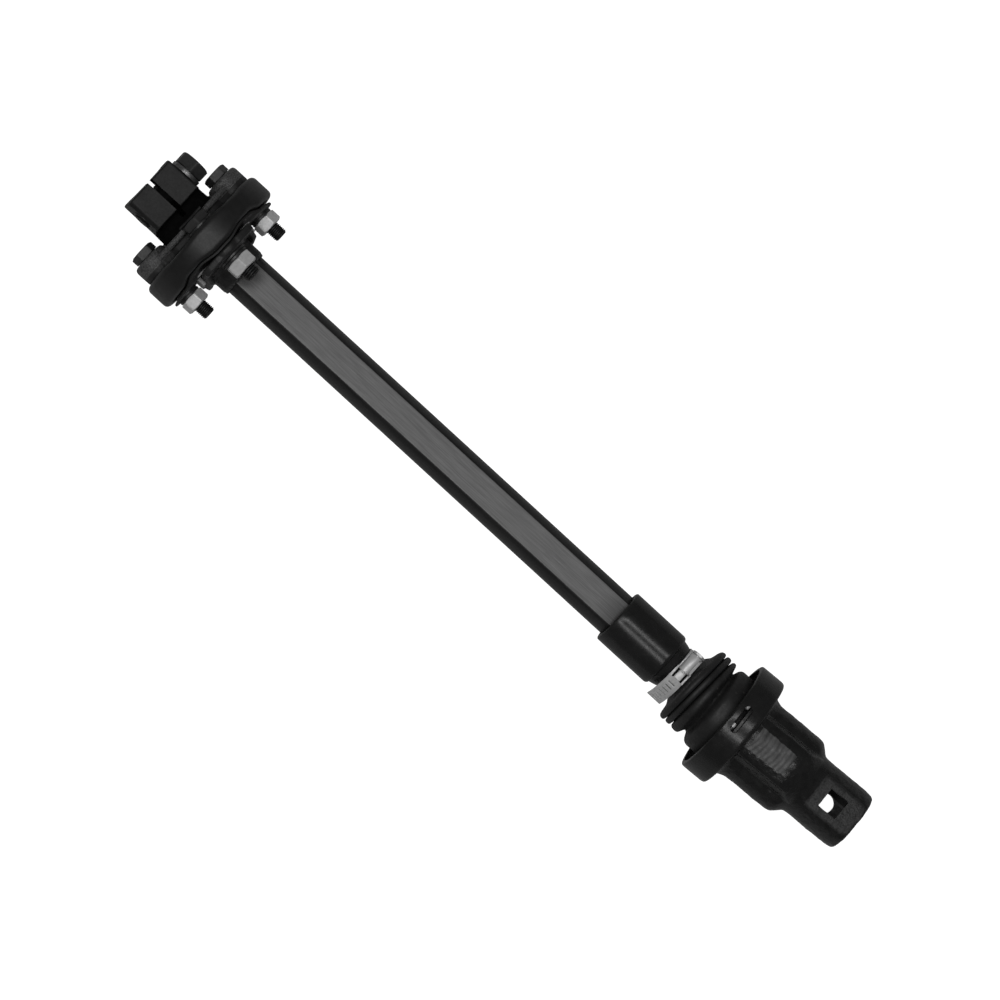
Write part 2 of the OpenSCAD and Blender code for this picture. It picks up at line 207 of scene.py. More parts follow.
def drop(obj):
    mesh = obj.data
    bpy.data.objects.remove(obj)
    bpy.data.meshes.remove(mesh)


def merged(name, parts):
    """One object that holds the shells of several."""
    work = bmesh.new()
    for p in parts:
        work.from_mesh(p.data)
    mesh = bpy.data.meshes.new(name)
    work.to_mesh(mesh)
    work.free()
    for p in parts:
        drop(p)
    obj = bpy.data.objects.new(name, mesh)
    bpy.context.scene.collection.objects.link(obj)
    obj.data.shade_smooth()
    return obj


def boolean(obj, other, operation="DIFFERENCE", sharp=32):
    mod = obj.modifiers.new("boolean", "BOOLEAN")
    mod.operation = operation
    mod.solver = "MANIFOLD"
    mod.object = other
    bpy.context.view_layer.update()
    apply_modifiers(obj)
    drop(other)
    obj.data.shade_smooth()
    obj.data.set_sharp_from_angle(angle=math.radians(sharp))
    return obj


def cut(obj, *cutters, sharp=32):
    for c in cutters:
        boolean(obj, c, "DIFFERENCE", sharp)
    return obj


def cast(name, parts, voxel=0.6, smooth=6):
    """Melts overlapping shells into one skin with soft fillets, as a forging has."""
    obj = merged(name, parts)
    mod = obj.modifiers.new("remesh", "REMESH")
    mod.mode = "VOXEL"
    mod.voxel_size = voxel * MM
    apply_modifiers(obj)
    if smooth:
        mod = obj.modifiers.new("smooth", "SMOOTH")
        mod.factor = 0.5
        mod.iterations = smooth
        apply_modifiers(obj)
    obj.data.shade_smooth()
    return obj


def roughen(obj, grains, where):
    """Moves the skin in and out by noise, one (size, depth) in millimetres per grain."""
    moved = []
    for vert in obj.data.vertices:
        place = vert.co / MM
        amount = where(place)
        push = amount * sum(noise.noise(place / size) * depth for size, depth in grains) if amount else 0
        moved.append(vert.co + vert.normal * push * MM)
    for vert, place in zip(obj.data.vertices, moved):
        vert.co = place
    obj.data.update()
    return obj


def shifted(x=0.0, y=0.0, z=0.0, turn=0.0, base=HERE):
    """A place on the row frame, turned about X by degrees."""
    return base @ Matrix.Translation((x, y, z)) @ Matrix.Rotation(math.radians(turn), 4, "X")


ALONG_Y = Matrix.Rotation(math.radians(90), 4, "Z")


# ---- fasteners ----

def hex_radius(across_flats, blunt=1.138):
    apothem = across_flats / 2
    def radius(a):
        local = (math.degrees(a) + 30) % 60 - 30
        return min(apothem / math.cos(math.radians(30 - abs(local))), apothem * blunt)
    return radius


def hex_rows(x0, x1, across_flats, first=True, last=False):
    """Side rows of a hexagon from x0 to x1, with its corners turned off to a cone at either end."""
    r = hex_radius(across_flats)
    turned_off = across_flats * 0.478
    rows = []
    if first:
        rows += [(x0, turned_off - 0.15), (lambda a: x0 + 0.06 + (r(a) - turned_off) * TAN30, r)]
    else:
        rows += [(x0, r)]
    if last:
        rows += [(lambda a: x1 - 0.06 - (r(a) - turned_off) * TAN30, r), (x1, turned_off - 0.15)]
    else:
        rows += [(x1, r)]
    return rows


def thread_rows(x0, x1, r, pitch, taper=0.0, steps=8):
    """A helical thread as rings of changing radius, with a tapered start at x1 where taper is given."""
    depth = 0.58 * pitch
    def radius(x):
        fade = min(1.0, (x - x0) / pitch + 0.02)
        limit = r if not taper else min(r, r - taper + max(0.0, x1 - x))
        def at(a):
            phase = (x / pitch - a / (2 * math.pi)) % 1
            groove = max(0.0, 1.12 - abs(2 * phase - 1) * 1.6)
            return min(r - depth * fade * min(1.0, groove), limit)
        return at
    count = max(2, round((x1 - x0) / pitch * steps))
    return [(x0 + (x1 - x0) * k / count, radius(x0 + (x1 - x0) * k / count)) for k in range(count + 1)]


def bolt(name, head, shank_end, end, across_flats, r, pitch, place=HERE):
    """Head from head[0] to head[1], plain shank, then a thread up to the end."""
    rows = [(head[0] + 0.35, 0), (head[0] + 0.35, across_flats * 0.30), (head[0], across_flats * 0.36)]
    rows += hex_rows(head[0], head[1] - 0.4, across_flats)
    washer_face = across_flats * 0.47
    rows += [(head[1] - 0.4, washer_face), (head[1], washer_face), (head[1], r + 0.4), (head[1] + 0.4, r)]
    rows += [(shank_end, r)]
    rows += thread_rows(shank_end, end, r, pitch, taper=1.0)
    rows += [(end, r - 1.9), (end - 0.25, r - 2.6), (end - 0.25, 0)]
    return turned(name, rows, place)


def nut(name, x0, x1, across_flats, r, place=HERE):
    """Hexagon nut with both faces turned off and a countersunk bore."""
    rows = [(x0 + 0.8, r), (x0, r + 0.8)] + hex_rows(x0, x1, across_flats, True, True)
    rows += [(x1, r + 0.8), (x1 - 0.8, r)]
    return turned(name, rows, place, closed=True)


def lock_washer(name, x0, x1, outer, inner, place=HERE, split=0.35):
    """Split spring washer: a square-section ring whose two ends stand a little apart."""
    count = 72
    verts = []
    faces = []
    thick = (x1 - x0) - split
    for k in range(count + 1):
        share = k / count
        a = math.radians(6) + share * math.radians(348)
        x = x0 + split * share
        for dx, r in ((0, inner), (0, outer), (thick, outer), (thick, inner)):
            verts.append((x + dx, r * math.cos(a), r * math.sin(a)))
    for k in range(count):
        b = 4 * k
        for i in range(4):
            j = (i + 1) % 4
            faces.append((b + i, b + j, b + 4 + j, b + 4 + i))
    faces += [(0, 1, 2, 3), (4 * count, 4 * count + 1, 4 * count + 2, 4 * count + 3)]
    return bevel(make(name, verts, faces, place), 0.2, 2, 40)


# ---- materials ----

def node(tree, kind, sockets=None, **props):
    made = tree.nodes.new("ShaderNode" + kind)
    for key, value in props.items():
        setattr(made, key, value)
    for key, value in (sockets or {}).items():
        if isinstance(value, bpy.types.NodeSocket):
            tree.links.new(value, made.inputs[key])
        else:
            made.inputs[key].default_value = value
    return made


def in_mm(tree, stretch=(1, 1, 1), turn=0.0):
    """Object coordinates in millimetres, with one direction drawn out where stretch is below one."""
    place = node(tree, "TexCoord").outputs["Object"]
    scale = tuple(s / MM for s in stretch)
    return node(tree, "Mapping", {"Vector": place, "Scale": scale, "Rotation": (0, 0, turn)}).outputs["Vector"]


def cloud(tree, where, size, detail=4.0, lumpy=0.55):
    sockets = {"Vector": where, "Scale": 1 / size, "Detail": detail, "Roughness": lumpy}
    return node(tree, "TexNoise", sockets).outputs["Fac"]


def spread(tree, value, lo, hi, to_lo, to_hi):
    sockets = {"Value": value, "From Min": lo, "From Max": hi, "To Min": to_lo, "To Max": to_hi}
    return node(tree, "MapRange", sockets).outputs["Result"]


def ramp(tree, value, lo, hi, tones):
    made = node(tree, "ValToRGB", {"Fac": value})
    for element, place, tone in zip(made.color_ramp.elements, (lo, hi), tones):
        element.position = place
        element.color = (*tone, 1)
    return made.outputs["Color"]


def bump(tree, height, depth, normal=None):
    sockets = {"Height": height, "Distance": depth * MM, "Strength": 1.0}
    if normal:
        sockets["Normal"] = normal
    return node(tree, "Bump", sockets).outputs["Normal"]


def mix(tree, share, one, two):
    made = node(tree, "Mix", data_type="RGBA")
    for key, value in ((0, share), (6, one), (7, two)):
        if isinstance(value, bpy.types.NodeSocket):
            tree.links.new(value, made.inputs[key])
        else:
            made.inputs[key].default_value = (*value, 1) if key else value
    return made.outputs[2]


PAINT = {}


def finish(name, tones, patch, rough, grains, metal=0.0, stretch=(1, 1, 1), edge_wear_and_highlight=None, dust=None, **fixed):
    """A material whose colour and roughness vary in patches, with one bump per (size, depth) grain.

    Its edge colour lightens outer edges, partly as wear and partly as a painted highlight; dust lies on it in
    specks."""
    mat = bpy.data.materials.new(name)
    PAINT[name] = mat
    mat.use_nodes = True
    tree = mat.node_tree
    shader = tree.nodes["Principled BSDF"]
    where = in_mm(tree, stretch)
    patches = cloud(tree, where, patch)
    color = ramp(tree, patches, 0.36, 0.64, tones)
    # Outer edges lightened by pointiness: partly wear, partly a painted highlight along the edges.
    if edge_wear_and_highlight:
        edge = node(tree, "NewGeometry").outputs["Pointiness"]
        broken = node(tree, "Math", {0: edge, 1: spread(tree, cloud(tree, where, 1.1), 0, 1, -0.02, 0.02)},
                      operation="ADD").outputs[0]
        color = mix(tree, spread(tree, broken, 0.53, 0.60, 0.0, 0.8), color, edge_wear_and_highlight)
    if dust:
        specks = spread(tree, cloud(tree, where, 1.6, 6.0, 0.7), 0.60, 0.72, 0.0, 0.6)
        color = mix(tree, specks, color, dust)
    tree.links.new(color, shader.inputs["Base Color"])
    fine = cloud(tree, where, max(0.4, patch * 0.37), 3.0)
    tree.links.new(spread(tree, fine, 0.3, 0.7, *rough), shader.inputs["Roughness"])
    normal = None
    for size, depth in grains:
        normal = bump(tree, cloud(tree, where, size, 3.0, 0.6), depth, normal)
    if normal:
        tree.links.new(normal, shader.inputs["Normal"])
    shader.inputs["Metallic"].default_value = metal
    for key, value in fixed.items():
        shader.inputs[key.replace("_", " ")].default_value = value
    return mat


def grey(value, warm=0.0):
    return (value * (1 + warm), value, value * (1 - warm))


def greys(low, high):
    return grey(low), grey(high)


def milled_finish():
    """Bare flat with the arcs that a fly cutter leaves, and a grain along them."""
    mat = finish("milled_flat", greys(0.065, 0.11), 5.0, (0.34, 0.5), ((0.35, 0.02),), metal=0.35)
    tree = mat.node_tree
    shader = tree.nodes["Principled BSDF"]
    shift = (PIVOT - Vector((22, 0, 0))) / -1
    place = node(tree, "TexCoord").outputs["Object"]
    flat = (1 / MM, 1 / MM, 0)
    mm = node(tree, "Mapping", {"Vector": place, "Location": shift, "Scale": flat}).outputs["Vector"]
    sockets = {"Vector": mm, "Scale": 0.115, "Distortion": 1.6, "Detail": 2.0, "Detail Scale": 1.4}
    arcs = node(tree, "TexWave", sockets, wave_type="RINGS", rings_direction="Z").outputs["Fac"]
    last = shader.inputs["Normal"].links[0].from_socket
    tree.links.new(bump(tree, arcs, 0.09, last), shader.inputs["Normal"])
    return mat


def dark_finishes():
    """Blacks of the castings, the painted tube and the bolts."""
    # Painted shade: a near-black with almost no gloss, laid where shade falls in the hub's slot and on its neck,
    # on the pinch bolt's shank inside its hole and on the band beside the clamp's tongue.
    finish("painted_shade_black", greys(0.005, 0.0075), 3.0, (0.8, 0.95), ((0.8, 0.03),),
           Specular_IOR_Level=0.04)
    finish("lug_black", greys(0.008, 0.015), 1.2, (0.44, 0.58),
           ((0.5, 0.05), (2.0, 0.06)), edge_wear_and_highlight=grey(0.04), Specular_IOR_Level=0.4)
    finish("cast_grain", greys(0.03, 0.16), 0.62, (0.3, 0.5),
           ((0.6, 0.24), (1.6, 0.16)))
    finish("ring_wire", greys(0.05, 0.12), 1.2, (0.24, 0.4), ((0.4, 0.02),), metal=0.6)
    finish("cast_black", greys(0.017, 0.032), 2.4, (0.42, 0.6),
           ((0.55, 0.10), (1.6, 0.10)), edge_wear_and_highlight=grey(0.06))
    finish("flange_black", greys(0.013, 0.024), 4.0, (0.34, 0.5),
           ((0.7, 0.05), (2.4, 0.08)), edge_wear_and_highlight=grey(0.07))
    # The pot's edge colour is set high: partly wear, partly a painted highlight that stands in for the light
    # lines along the barrel's edges.
    finish("pot_black", greys(0.010, 0.019), 5.0, (0.2, 0.34),
           ((0.9, 0.05), (3.1, 0.16)), edge_wear_and_highlight=grey(0.13))
    finish("pot_rough", greys(0.012, 0.040), 1.0, (0.34, 0.52),
           ((0.8, 0.26), (2.1, 0.30)))
    finish("satin_black", greys(0.012, 0.018), 6.0, (0.2, 0.3),
           ((0.6, 0.008),), edge_wear_and_highlight=grey(0.04))
    finish("brushed_flat", greys(0.145, 0.195), 0.5, (0.36, 0.52),
           ((0.25, 0.012), (1.2, 0.02)), metal=0.3, stretch=(0.03, 1, 1))
    finish("tube_black", greys(0.014, 0.024), 2.2, (0.27, 0.42),
           ((0.5, 0.01),), stretch=(0.06, 1, 1))
    finish("bolt_black", greys(0.014, 0.03), 1.5, (0.34, 0.5),
           ((0.5, 0.02),), metal=0.25, edge_wear_and_highlight=grey(0.08))


def other_finishes():
    """Bare and plated metals, rubbers, plastic and the milled flat."""
    finish("dark_steel", greys(0.045, 0.10), 1.4, (0.3, 0.48),
           ((0.4, 0.02),), metal=0.7)
    finish("grey_washer", greys(0.16, 0.30), 1.4, (0.28, 0.42),
           ((0.4, 0.02),), metal=0.8)
    finish("zinc_nut", greys(0.80, 0.92), 1.8, (0.34, 0.5),
           ((0.5, 0.02),), metal=0.25)
    finish("zinc_plate", greys(0.46, 0.58), 2.5, (0.42, 0.6),
           ((0.6, 0.03),), metal=0.1)
    finish("ground_steel", greys(0.30, 0.44), 1.2, (0.2, 0.34),
           ((0.3, 0.01),), metal=1.0, stretch=(1, 0.1, 0.1))
    finish("stainless", greys(0.76, 0.88), 0.9, (0.3, 0.44),
           ((0.3, 0.008),), metal=0.3, stretch=(1, 0.15, 0.15))
    finish("spring_wire", greys(0.40, 0.6), 1.2, (0.18, 0.3),
           ((0.3, 0.01),), metal=1.0)
    finish("bronze", ((0.36, 0.20, 0.075), (0.50, 0.31, 0.13)), 2.0, (0.24, 0.4),
           ((0.4, 0.01),), metal=1.0)
    finish("seat_plastic", ((0.58, 0.54, 0.42), (0.70, 0.66, 0.54)), 3.0, (0.4, 0.55),
           ((0.7, 0.01),))
    finish("disc_rubber", greys(0.0125, 0.0180), 5.0, (0.37, 0.46),
           ((0.8, 0.012), (3.5, 0.04)))
    finish("disc_fabric", greys(0.012, 0.024), 1.0, (0.5, 0.66),
           ((0.5, 0.05),))
    finish("boot_rubber", greys(0.0165, 0.024), 4.0, (0.42, 0.58),
           ((0.7, 0.03), (3.0, 0.1)), dust=grey(0.11, 0.06))
    milled_finish()


dark_finishes()
other_finishes()


def paint(obj, *names):
    obj.data.materials.clear()
    for name in names:
        obj.data.materials.append(PAINT[name])
    return obj


def paint_where(obj, test, index=1):
    """Faces whose middle (millimetres) and normal pass the test take the material at that index."""
    for face in obj.data.polygons:
        if test(face.center / MM, face.normal):
            face.material_index = index
    return obj


def fit(obj, body, slot, *nodes):
    """Puts a piece on its body in place of the CAD nodes that it stands for."""
    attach(obj, body)
    if nodes:
        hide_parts(*nodes)
    return obj


def carry_over(names):
    """CAD nodes that show as they are, with a finish of their own."""
    for name, (finish_name, slot) in names.items():
        piece = frame["nodes"][name]
        piece.data.materials.clear()
        piece.data.materials.append(PAINT[finish_name])


# ---- gear side ----

BOLT_R = 28.3
GEAR_BORE = 10.3
PINCH_X = 13.0
PINCH_Z = 16.4
PINCH_SEAT = 15.0


def splined(r, teeth, depth):
    """Radius of a bore with fine teeth."""
    return lambda a: r - 0.02 + depth * (0.5 + 0.5 * math.cos(teeth * a))


HUB_END = 23.2
PAD_X = (27.5, 38.6)
WEB_START = 31.4
GRAIN_END = 35.4

WEB = [(-28.3, -9.5), (-16, -14.6), (0, -17.0), (16, -14.6), (28.3, -9.5),
       (28.3, 9.5), (16, 14.6), (0, 17.0), (-16, 14.6), (-28.3, 9.5)]


def flange_slopes():
    """Front of the lugs leans back, the hub's lower front is cut away, and the neck falls off to the web."""
    upper = [(-4, -0.5), (0, 0), (2.4, 23.5), (3.1, 30), (-4, 30)]
    lower = [(-4, 0.5), (0, 0), (5.8, -16.0), (7.3, -20), (-4, -20)]
    front = [prism("slope", outline, -25, 25, "Y") for outline in (upper, lower)]
    falls = []
    for side in (-1, 1):
        fall = [(22.2, side * 26), (22.2, side * 17.6), (24.2, side * 14.8),
                (32.6, side * 11.2), (32.6, side * 26)]
        falls.append(prism("slope", fall, -25, 25, "Y"))
    return front, falls


def coupling_flange():
    """Forged clamp hub, neck and web, with a pad for either gear-side bolt."""
    hub = [(17.0 * math.cos(a), 17.0 * math.sin(a)) for a in (math.radians(180 + 5 * k) for k in range(37))]
    hub += [(16.7, 17), (16.3, 21.6), (14.8, 23.5), (-14.6, 23.5), (-16.6, 22.0), (-17.0, 17)]
    front, falls = flange_slopes()
    parts = [bevel(cut(prism("hub", hub, 0.0, HUB_END), *front), 1.0, 3, 50)]
    neck = [(15, 0), (15, 16.0), (22.5, 17.0), (29, 17.2), (32, 17.4), (32, 0)]
    parts.append(cut(turned("neck", neck), *falls))
    parts.append(bevel(prism("web", WEB, WEB_START, 34.6), 0.7, 2, 50))
    parts.append(prism("face", [(y * 0.97, z * 0.93) for y, z in WEB], 34.0, PAD_X[1]))
    pad = [(PAD_X[0], 0, 0), (PAD_X[0], 10.1, 2.6), (PAD_X[1], 10.1, 0.7), (PAD_X[1], 0, 0)]
    for side in (-1, 1):
        parts.append(turned("pad", rounded(pad, closed=False), shifted(0, side * BOLT_R, 0)))
    flange = cast("coupling_flange_casting", parts, 0.5, 5)
    seat = brick("seat", (-2, PINCH_SEAT, 4.4), (23.25, 22, 30), 0.6)
    slot = brick("slot", (-2, -1.5, 0), (27.5, 1.5, 30))
    bore = turned("bore", [(-2, 0), (-2, 13.6), (1.6, splined(GEAR_BORE, 36, 0.75)),
                           (40, splined(GEAR_BORE, 36, 0.75)), (40, 0)], count=288)
    pinch = rod("pinch_hole", -25, 25, 5.7, Matrix.Translation((PINCH_X, 0, PINCH_Z)) @ ALONG_Y, count=48)
    holes = [rod("hole", 20, 40, 4.12, shifted(0, side * BOLT_R, 0), count=48) for side in (-1, 1)]
    cut(flange, seat, slot, bore, pinch, *holes, sharp=40)
    roughen(flange, ((1.1, 0.05), (6.0, 0.16)),
            lambda p: Vector((0, p.y, p.z)).length > 12.5 and p.y < PINCH_SEAT - 0.05)
    paint(flange, "cast_black", "painted_shade_black", "cast_grain", "lug_black")
    paint_where(flange, lambda c, n: 26.9 < c.x < GRAIN_END and (abs(c.y) > 17.6 or c.x > 31.2), 2)
    paint_where(flange, lambda c, n: c.x > 34.7 and abs(c.y) < 18.6, 3)
    paint_where(flange, lambda c, n: c.x < 22.7 and Vector((0, c.y, c.z)).length > 12, 3)
    # Painted shade: the walls of the slot and the neck between the lugs and the web take the near-black shade
    # finish.
    paint_where(flange, lambda c, n: abs(c.y) < 1.6 and abs(n.y) > 0.9)
    paint_where(flange, lambda c, n: 22.9 < c.x < WEB_START and abs(c.y) < 17.6)
    return paint_where(flange, lambda c, n: 29.8 < c.x < GRAIN_END and -7 < c.y < 9, 3)


def pinch_bolt():
    """Turned about Y: the head faces +Y, and the threaded end just passes the lug on the other side."""
    head_y = PINCH_SEAT + 2.8
    place = Matrix.Translation((PINCH_X, 0, PINCH_Z)) @ Matrix.Rotation(math.radians(-90), 4, "Z")
    place = place @ Matrix.Rotation(math.radians(20), 4, "X")
    made = bolt("pinch_bolt_threaded", (-head_y - 7, -head_y), 4, 18.4, 16.0, 5.5, 1.81, place)
    paint(made, "bolt_black", "painted_shade_black")
    # Painted shade: the shank inside the lug's hole takes the near-black shade finish.
    return paint_where(made, lambda c, n: c.y > -16 and math.hypot(c.x - PINCH_X, c.z - PINCH_Z) < 5.6)


def pinch_lock_washer():
    place = Matrix.Translation((PINCH_X, PINCH_SEAT + 0.05, PINCH_Z)) @ ALONG_Y
    place = place @ Matrix.Rotation(math.radians(-60), 4, "X")
    return lock_washer("pinch_lock_washer_split", 0, 2.7, 8.8, 5.7, place)


def at_sides(build):
    """The same shape on both bolts of the gear side, as one piece."""
    return [build(shifted(0, side * BOLT_R, 0)) for side in (-1, 1)]


def at_top_and_bottom(build):
    return [build(shifted(0, 0, side * BOLT_R)) for side in (-1, 1)]


def turned_more(place, degrees):
    return place @ Matrix.Rotation(math.radians(degrees), 4, "X")


def flange_sleeve(place):
    outline = [(38.6, 4.1, 0), (38.6, 5.5, 0.3), (54.9, 5.5, 0.2),
               (54.9, 6.3, 0.3), (56.8, 6.3, 0.4), (56.8, 4.1, 0)]
    return turned("sleeve", rounded(outline), place, closed=True)


def gear_side():
    fit(coupling_flange(), "gear_side", "cast_black", "coupling_flange")
    fit(pinch_bolt(), "gear_side", "black_fastener", "pinch_bolt")
    fit(paint(pinch_lock_washer(), "grey_washer"), "gear_side", "dark_steel", "pinch_lock_washer")
    bolts = at_sides(lambda p: bolt("b", (22.5, 27.5), 54, 72.2, 12.7, 3.97, 1.06, p))
    fit(paint(merged("flange_bolts_threaded", bolts), "bolt_black"),
        "gear_side", "black_fastener", "flange_bolts")
    sleeves = merged("flange_bolt_sleeves_turned", at_sides(flange_sleeve))
    fit(paint(sleeves, "dark_steel"), "gear_side", "dark_steel", "flange_bolt_sleeves")
    washers = at_sides(lambda p: pipe("w", 56.8, 58.2, 6.5, 4.1, p, 0.3))
    fit(paint(merged("flange_bolt_washers_rounded", washers), "dark_steel"), "gear_side", "dark_steel",
        "flange_bolt_washers")
    nuts = at_sides(lambda p: nut("n", 58.2, 65.0, 12.7, 3.9, turned_more(p, 15)))
    fit(paint(merged("flange_bolt_nuts_chamfered", nuts), "zinc_nut"),
        "gear_side", "zinc_nut", "flange_bolt_nuts")


# ---- flexible disc ----

DISC_R = 41.3


def drawn_in(a):
    """How far the disc's faces are drawn in, from 0 at the bolts to 1 between them.

    It rises steeply beside the Y bolts."""
    from_y = math.degrees(math.acos(min(1.0, abs(math.cos(a)))))
    def step(x):
        x = min(1.0, max(0.0, x))
        return x * x * (3 - 2 * x)
    return step((from_y - 39) / 14) * step((84 - from_y) / 20)


def coupling_disc():
    """Moulded rubber disc, drawn in between the bolts, with broad soft edges."""
    def near(x):
        return lambda a: x + 0.8 * drawn_in(a)

    def far(x):
        return lambda a: x - 2.1 * drawn_in(a)

    rows = [(near(39.1), 12), (near(38.8), 12.4), (near(38.8), 18), (near(38.8), 27), (near(38.8), 36),
            (near(38.8), 38.9), (near(38.95), 39.6), (near(39.5), 40.4),
             (near(40.3), 41.0), (near(41.2), 41.26)]
    rows += [(near(42.2), DISC_R), (46.1, DISC_R), (far(50.0), DISC_R), (far(51.2), 41.26)]
    rows += [(far(52.1), 41.0), (far(52.9), 40.4), (far(53.4), 39.6), (far(53.6), 38.8)]
    rows += [(far(53.6), 30), (far(53.6), 20), (far(53.6), 12.4), (far(53.3), 12), (46, 11.9)]
    disc = turned("coupling_disc_moulded", rows, closed=True, count=192, sharp=60)
    holes = [rod("hole", 30, 60, 5.65, shifted(0, side * BOLT_R, 0), count=48) for side in (-1, 1)]
    holes += [rod("hole", 30, 60, 4.9, shifted(0, 0, side * BOLT_R), count=48) for side in (-1, 1)]
    return cut(disc, *holes, sharp=50)


def backing_layer():
    """Fabric ply that follows the disc's face and lifts off it at the rim beside the gear-side bolts."""
    def lift(r, thick):
        def at(a):
            flare = max(0.0, abs(math.cos(a)) - 0.35) ** 2 * 3.2 * (r / 37.3) ** 3
            return 53.7 + thick + flare - 2.1 * drawn_in(a) * min(1.0, (r - 20) / 12)
        return at

    rows = [(lift(r, 0), r) for r in (21.5, 26, 30, 33.5, 36.4)]
    rows += [(lift(37, 0.2), 37.1), (lift(37.3, 0.8), 37.3), (lift(37, 1.4), 37.1)]
    rows += [(lift(r, 1.6), r) for r in (36.4, 33.5, 30, 26, 21.5)]
    layer = turned("disc_backing_ply", rows, closed=True, count=192, sharp=60)
    holes = [rod("hole", 45, 60, 5.65, shifted(0, side * BOLT_R, 0), count=48) for side in (-1, 1)]
    holes += [rod("hole", 45, 60, 4.9, shifted(0, 0, side * BOLT_R), count=48) for side in (-1, 1)]
    return cut(layer, *holes, sharp=50)


def disc():
    fit(paint(coupling_disc(), "disc_rubber"), "disc", "disc_rubber", "coupling_disc")
    fit(paint(backing_layer(), "disc_fabric"), "disc", "disc_fabric", "disc_backing_layer")


# ---- shaft side of the coupling ----

TUBE_R = 12.7
TUBE_FLAT = 10.15


def double_d(r, flat, soft=0.4):
    """Radius of a circle with flats that face +Z and -Z, with softened corners."""
    def radius(a):
        s = abs(math.sin(a))
        straight = flat / s if s > 1e-6 else 1e6
        gap = max(0.0, soft - abs(r - straight)) / soft
        return min(r, straight) - gap * gap * soft * 0.25
    return radius


def dd_angles(r, flat):
    """Angles that follow the arcs and bunch up round the four corners."""
    corner = math.asin(flat / r)
    quarter = [corner * k / 12 for k in range(11)]
    quarter += [corner + math.radians(d) for d in (-4, -2.6, -1.6, -0.9, -0.4, 0, 0.4, 0.9, 1.6, 2.6, 4, 7)]
    quarter += [corner + (math.pi / 2 - corner) * share for share in (0.45, 0.75)]
    top = quarter + [math.pi / 2] + [math.pi - a for a in reversed(quarter[1:])]
    return top + [a + math.pi for a in top]


def shaft_flange():
    """Forged flange with side ribs, bosses at the shaft bolts, and the hub that is welded to the tube."""
    plate = [(-17.9, -33.6), (-14.5, -35.6), (-8, -37.6), (0, -38.4), (8, -37.6), (14.5, -35.6), (17.9, -33.6)]
    plate += [(-y, -z) for y, z in plate]
    parts = [bevel(prism("plate", plate, 55.4, 59.6), 0.6, 2, 50)]
    boss = [(56, 0, 0), (56, 11.4, 0.6), (59.6, 10.6, 0.8), (60.2, 9.4, 0.6), (60.6, 8.6, 0.2), (60.6, 0, 0)]
    parts += at_top_and_bottom(lambda p: turned("boss", rounded(boss, closed=False), p))
    for side in (-1, 1):
        rib = [(56, -24), (59.6, -24), (63.2, -15), (63.2, 15), (59.6, 24), (56, 24)]
        parts.append(bevel(prism("rib", rib, side * 16.2 - 1.7, side * 16.2 + 1.7, "Y"), 0.6, 2, 40))
    hub = [(56.5, 0, 0), (56.5, 16.4, 1.5), (60.2, 16.0, 1.4), (62.4, 14.4, 0.8), (70, 14.4, 0.6),
           (71.0, 13.9, 0.5), (71.0, 0, 0)]
    parts.append(turned("hub", rounded(hub, closed=False)))
    flange = cast("shaft_flange_forging", parts, 0.55, 6)
    angles = dd_angles(TUBE_R + 0.05, TUBE_FLAT + 0.05)
    grip = double_d(TUBE_R + 0.06, TUBE_FLAT + 0.06)
    way = turned("way", [(59.9, 0), (59.9, grip), (75, grip), (75, 0)], angles=angles)
    holes = at_top_and_bottom(lambda p: rod("hole", 50, 66, 4.88, p, count=48))
    return cut(flange, way, *holes, sharp=40)


def weld_bead():
    """Fillet weld between the hub and the tube, with the ripples of its passes."""
    grip = double_d(TUBE_R + 0.02, TUBE_FLAT + 0.02)

    def ripple(r, amount):
        return lambda a: r + amount * math.sin(31 * a + 1.3 * math.sin(3 * a))

    rows = [(70.4, grip), (70.4, 13.9), (ripple(70.9, 0.1), ripple(14.0, 0.12)),
            (ripple(71.5, 0.15), ripple(13.7, 0.12)), (ripple(71.7, 0.12), ripple(13.2, 0.1)), (71.5, grip)]
    return turned("weld_bead", rows, closed=True, count=192, sharp=60)


def stop_plate():
    """Pressed channel: its side walls would meet the gear-side bolts if the rubber failed."""
    outer, inner, low, high, reach = 20.2, 18.0, 53.75, 60.0, 20.0
    section = [(low, -outer), (low, outer), (high, outer), (high, inner), (low + 1.6, inner), (low + 1.6, -inner),
               (high, -inner), (high, -outer)]
    plate = prism("stop_plate_pressed", section, -reach, reach, "Z")
    corners = [brick("corner", (low + 1.6, -24, z), (62, 24, z + 15)) for z in (-23.5, 8.5)]
    plate = bevel(cut(plate, *corners), 0.4, 3)
    centre = rod("centre", 50, 56, 9, count=64)
    drill = rod("drill", 10, 24, 1.2, Matrix.Translation((57, 0, 3)) @ ALONG_Y, count=32)
    return cut(plate, centre, drill)


def steering_tube():
    outer = double_d(TUBE_R, TUBE_FLAT, 0.5)
    inner = double_d(9.7, 7.45, 0.4)
    rows = [(60.2, outer), (349.6, outer), (350, lambda a: outer(a) - 0.4), (350, inner), (60, inner),
            (60, lambda a: outer(a) - 0.3)]
    stations = [60.2 + (349.6 - 60.2) * k / 12 for k in range(1, 12)]
    rows[1:1] = [(x, outer) for x in stations]
    tube = turned("steering_tube_drawn", rows, closed=True, angles=dd_angles(TUBE_R, TUBE_FLAT), sharp=60)
    paint(tube, "tube_black", "brushed_flat")
    return paint_where(tube, lambda c, n: abs(c.z) > TUBE_FLAT - 0.06 and abs(n.z) > 0.9)


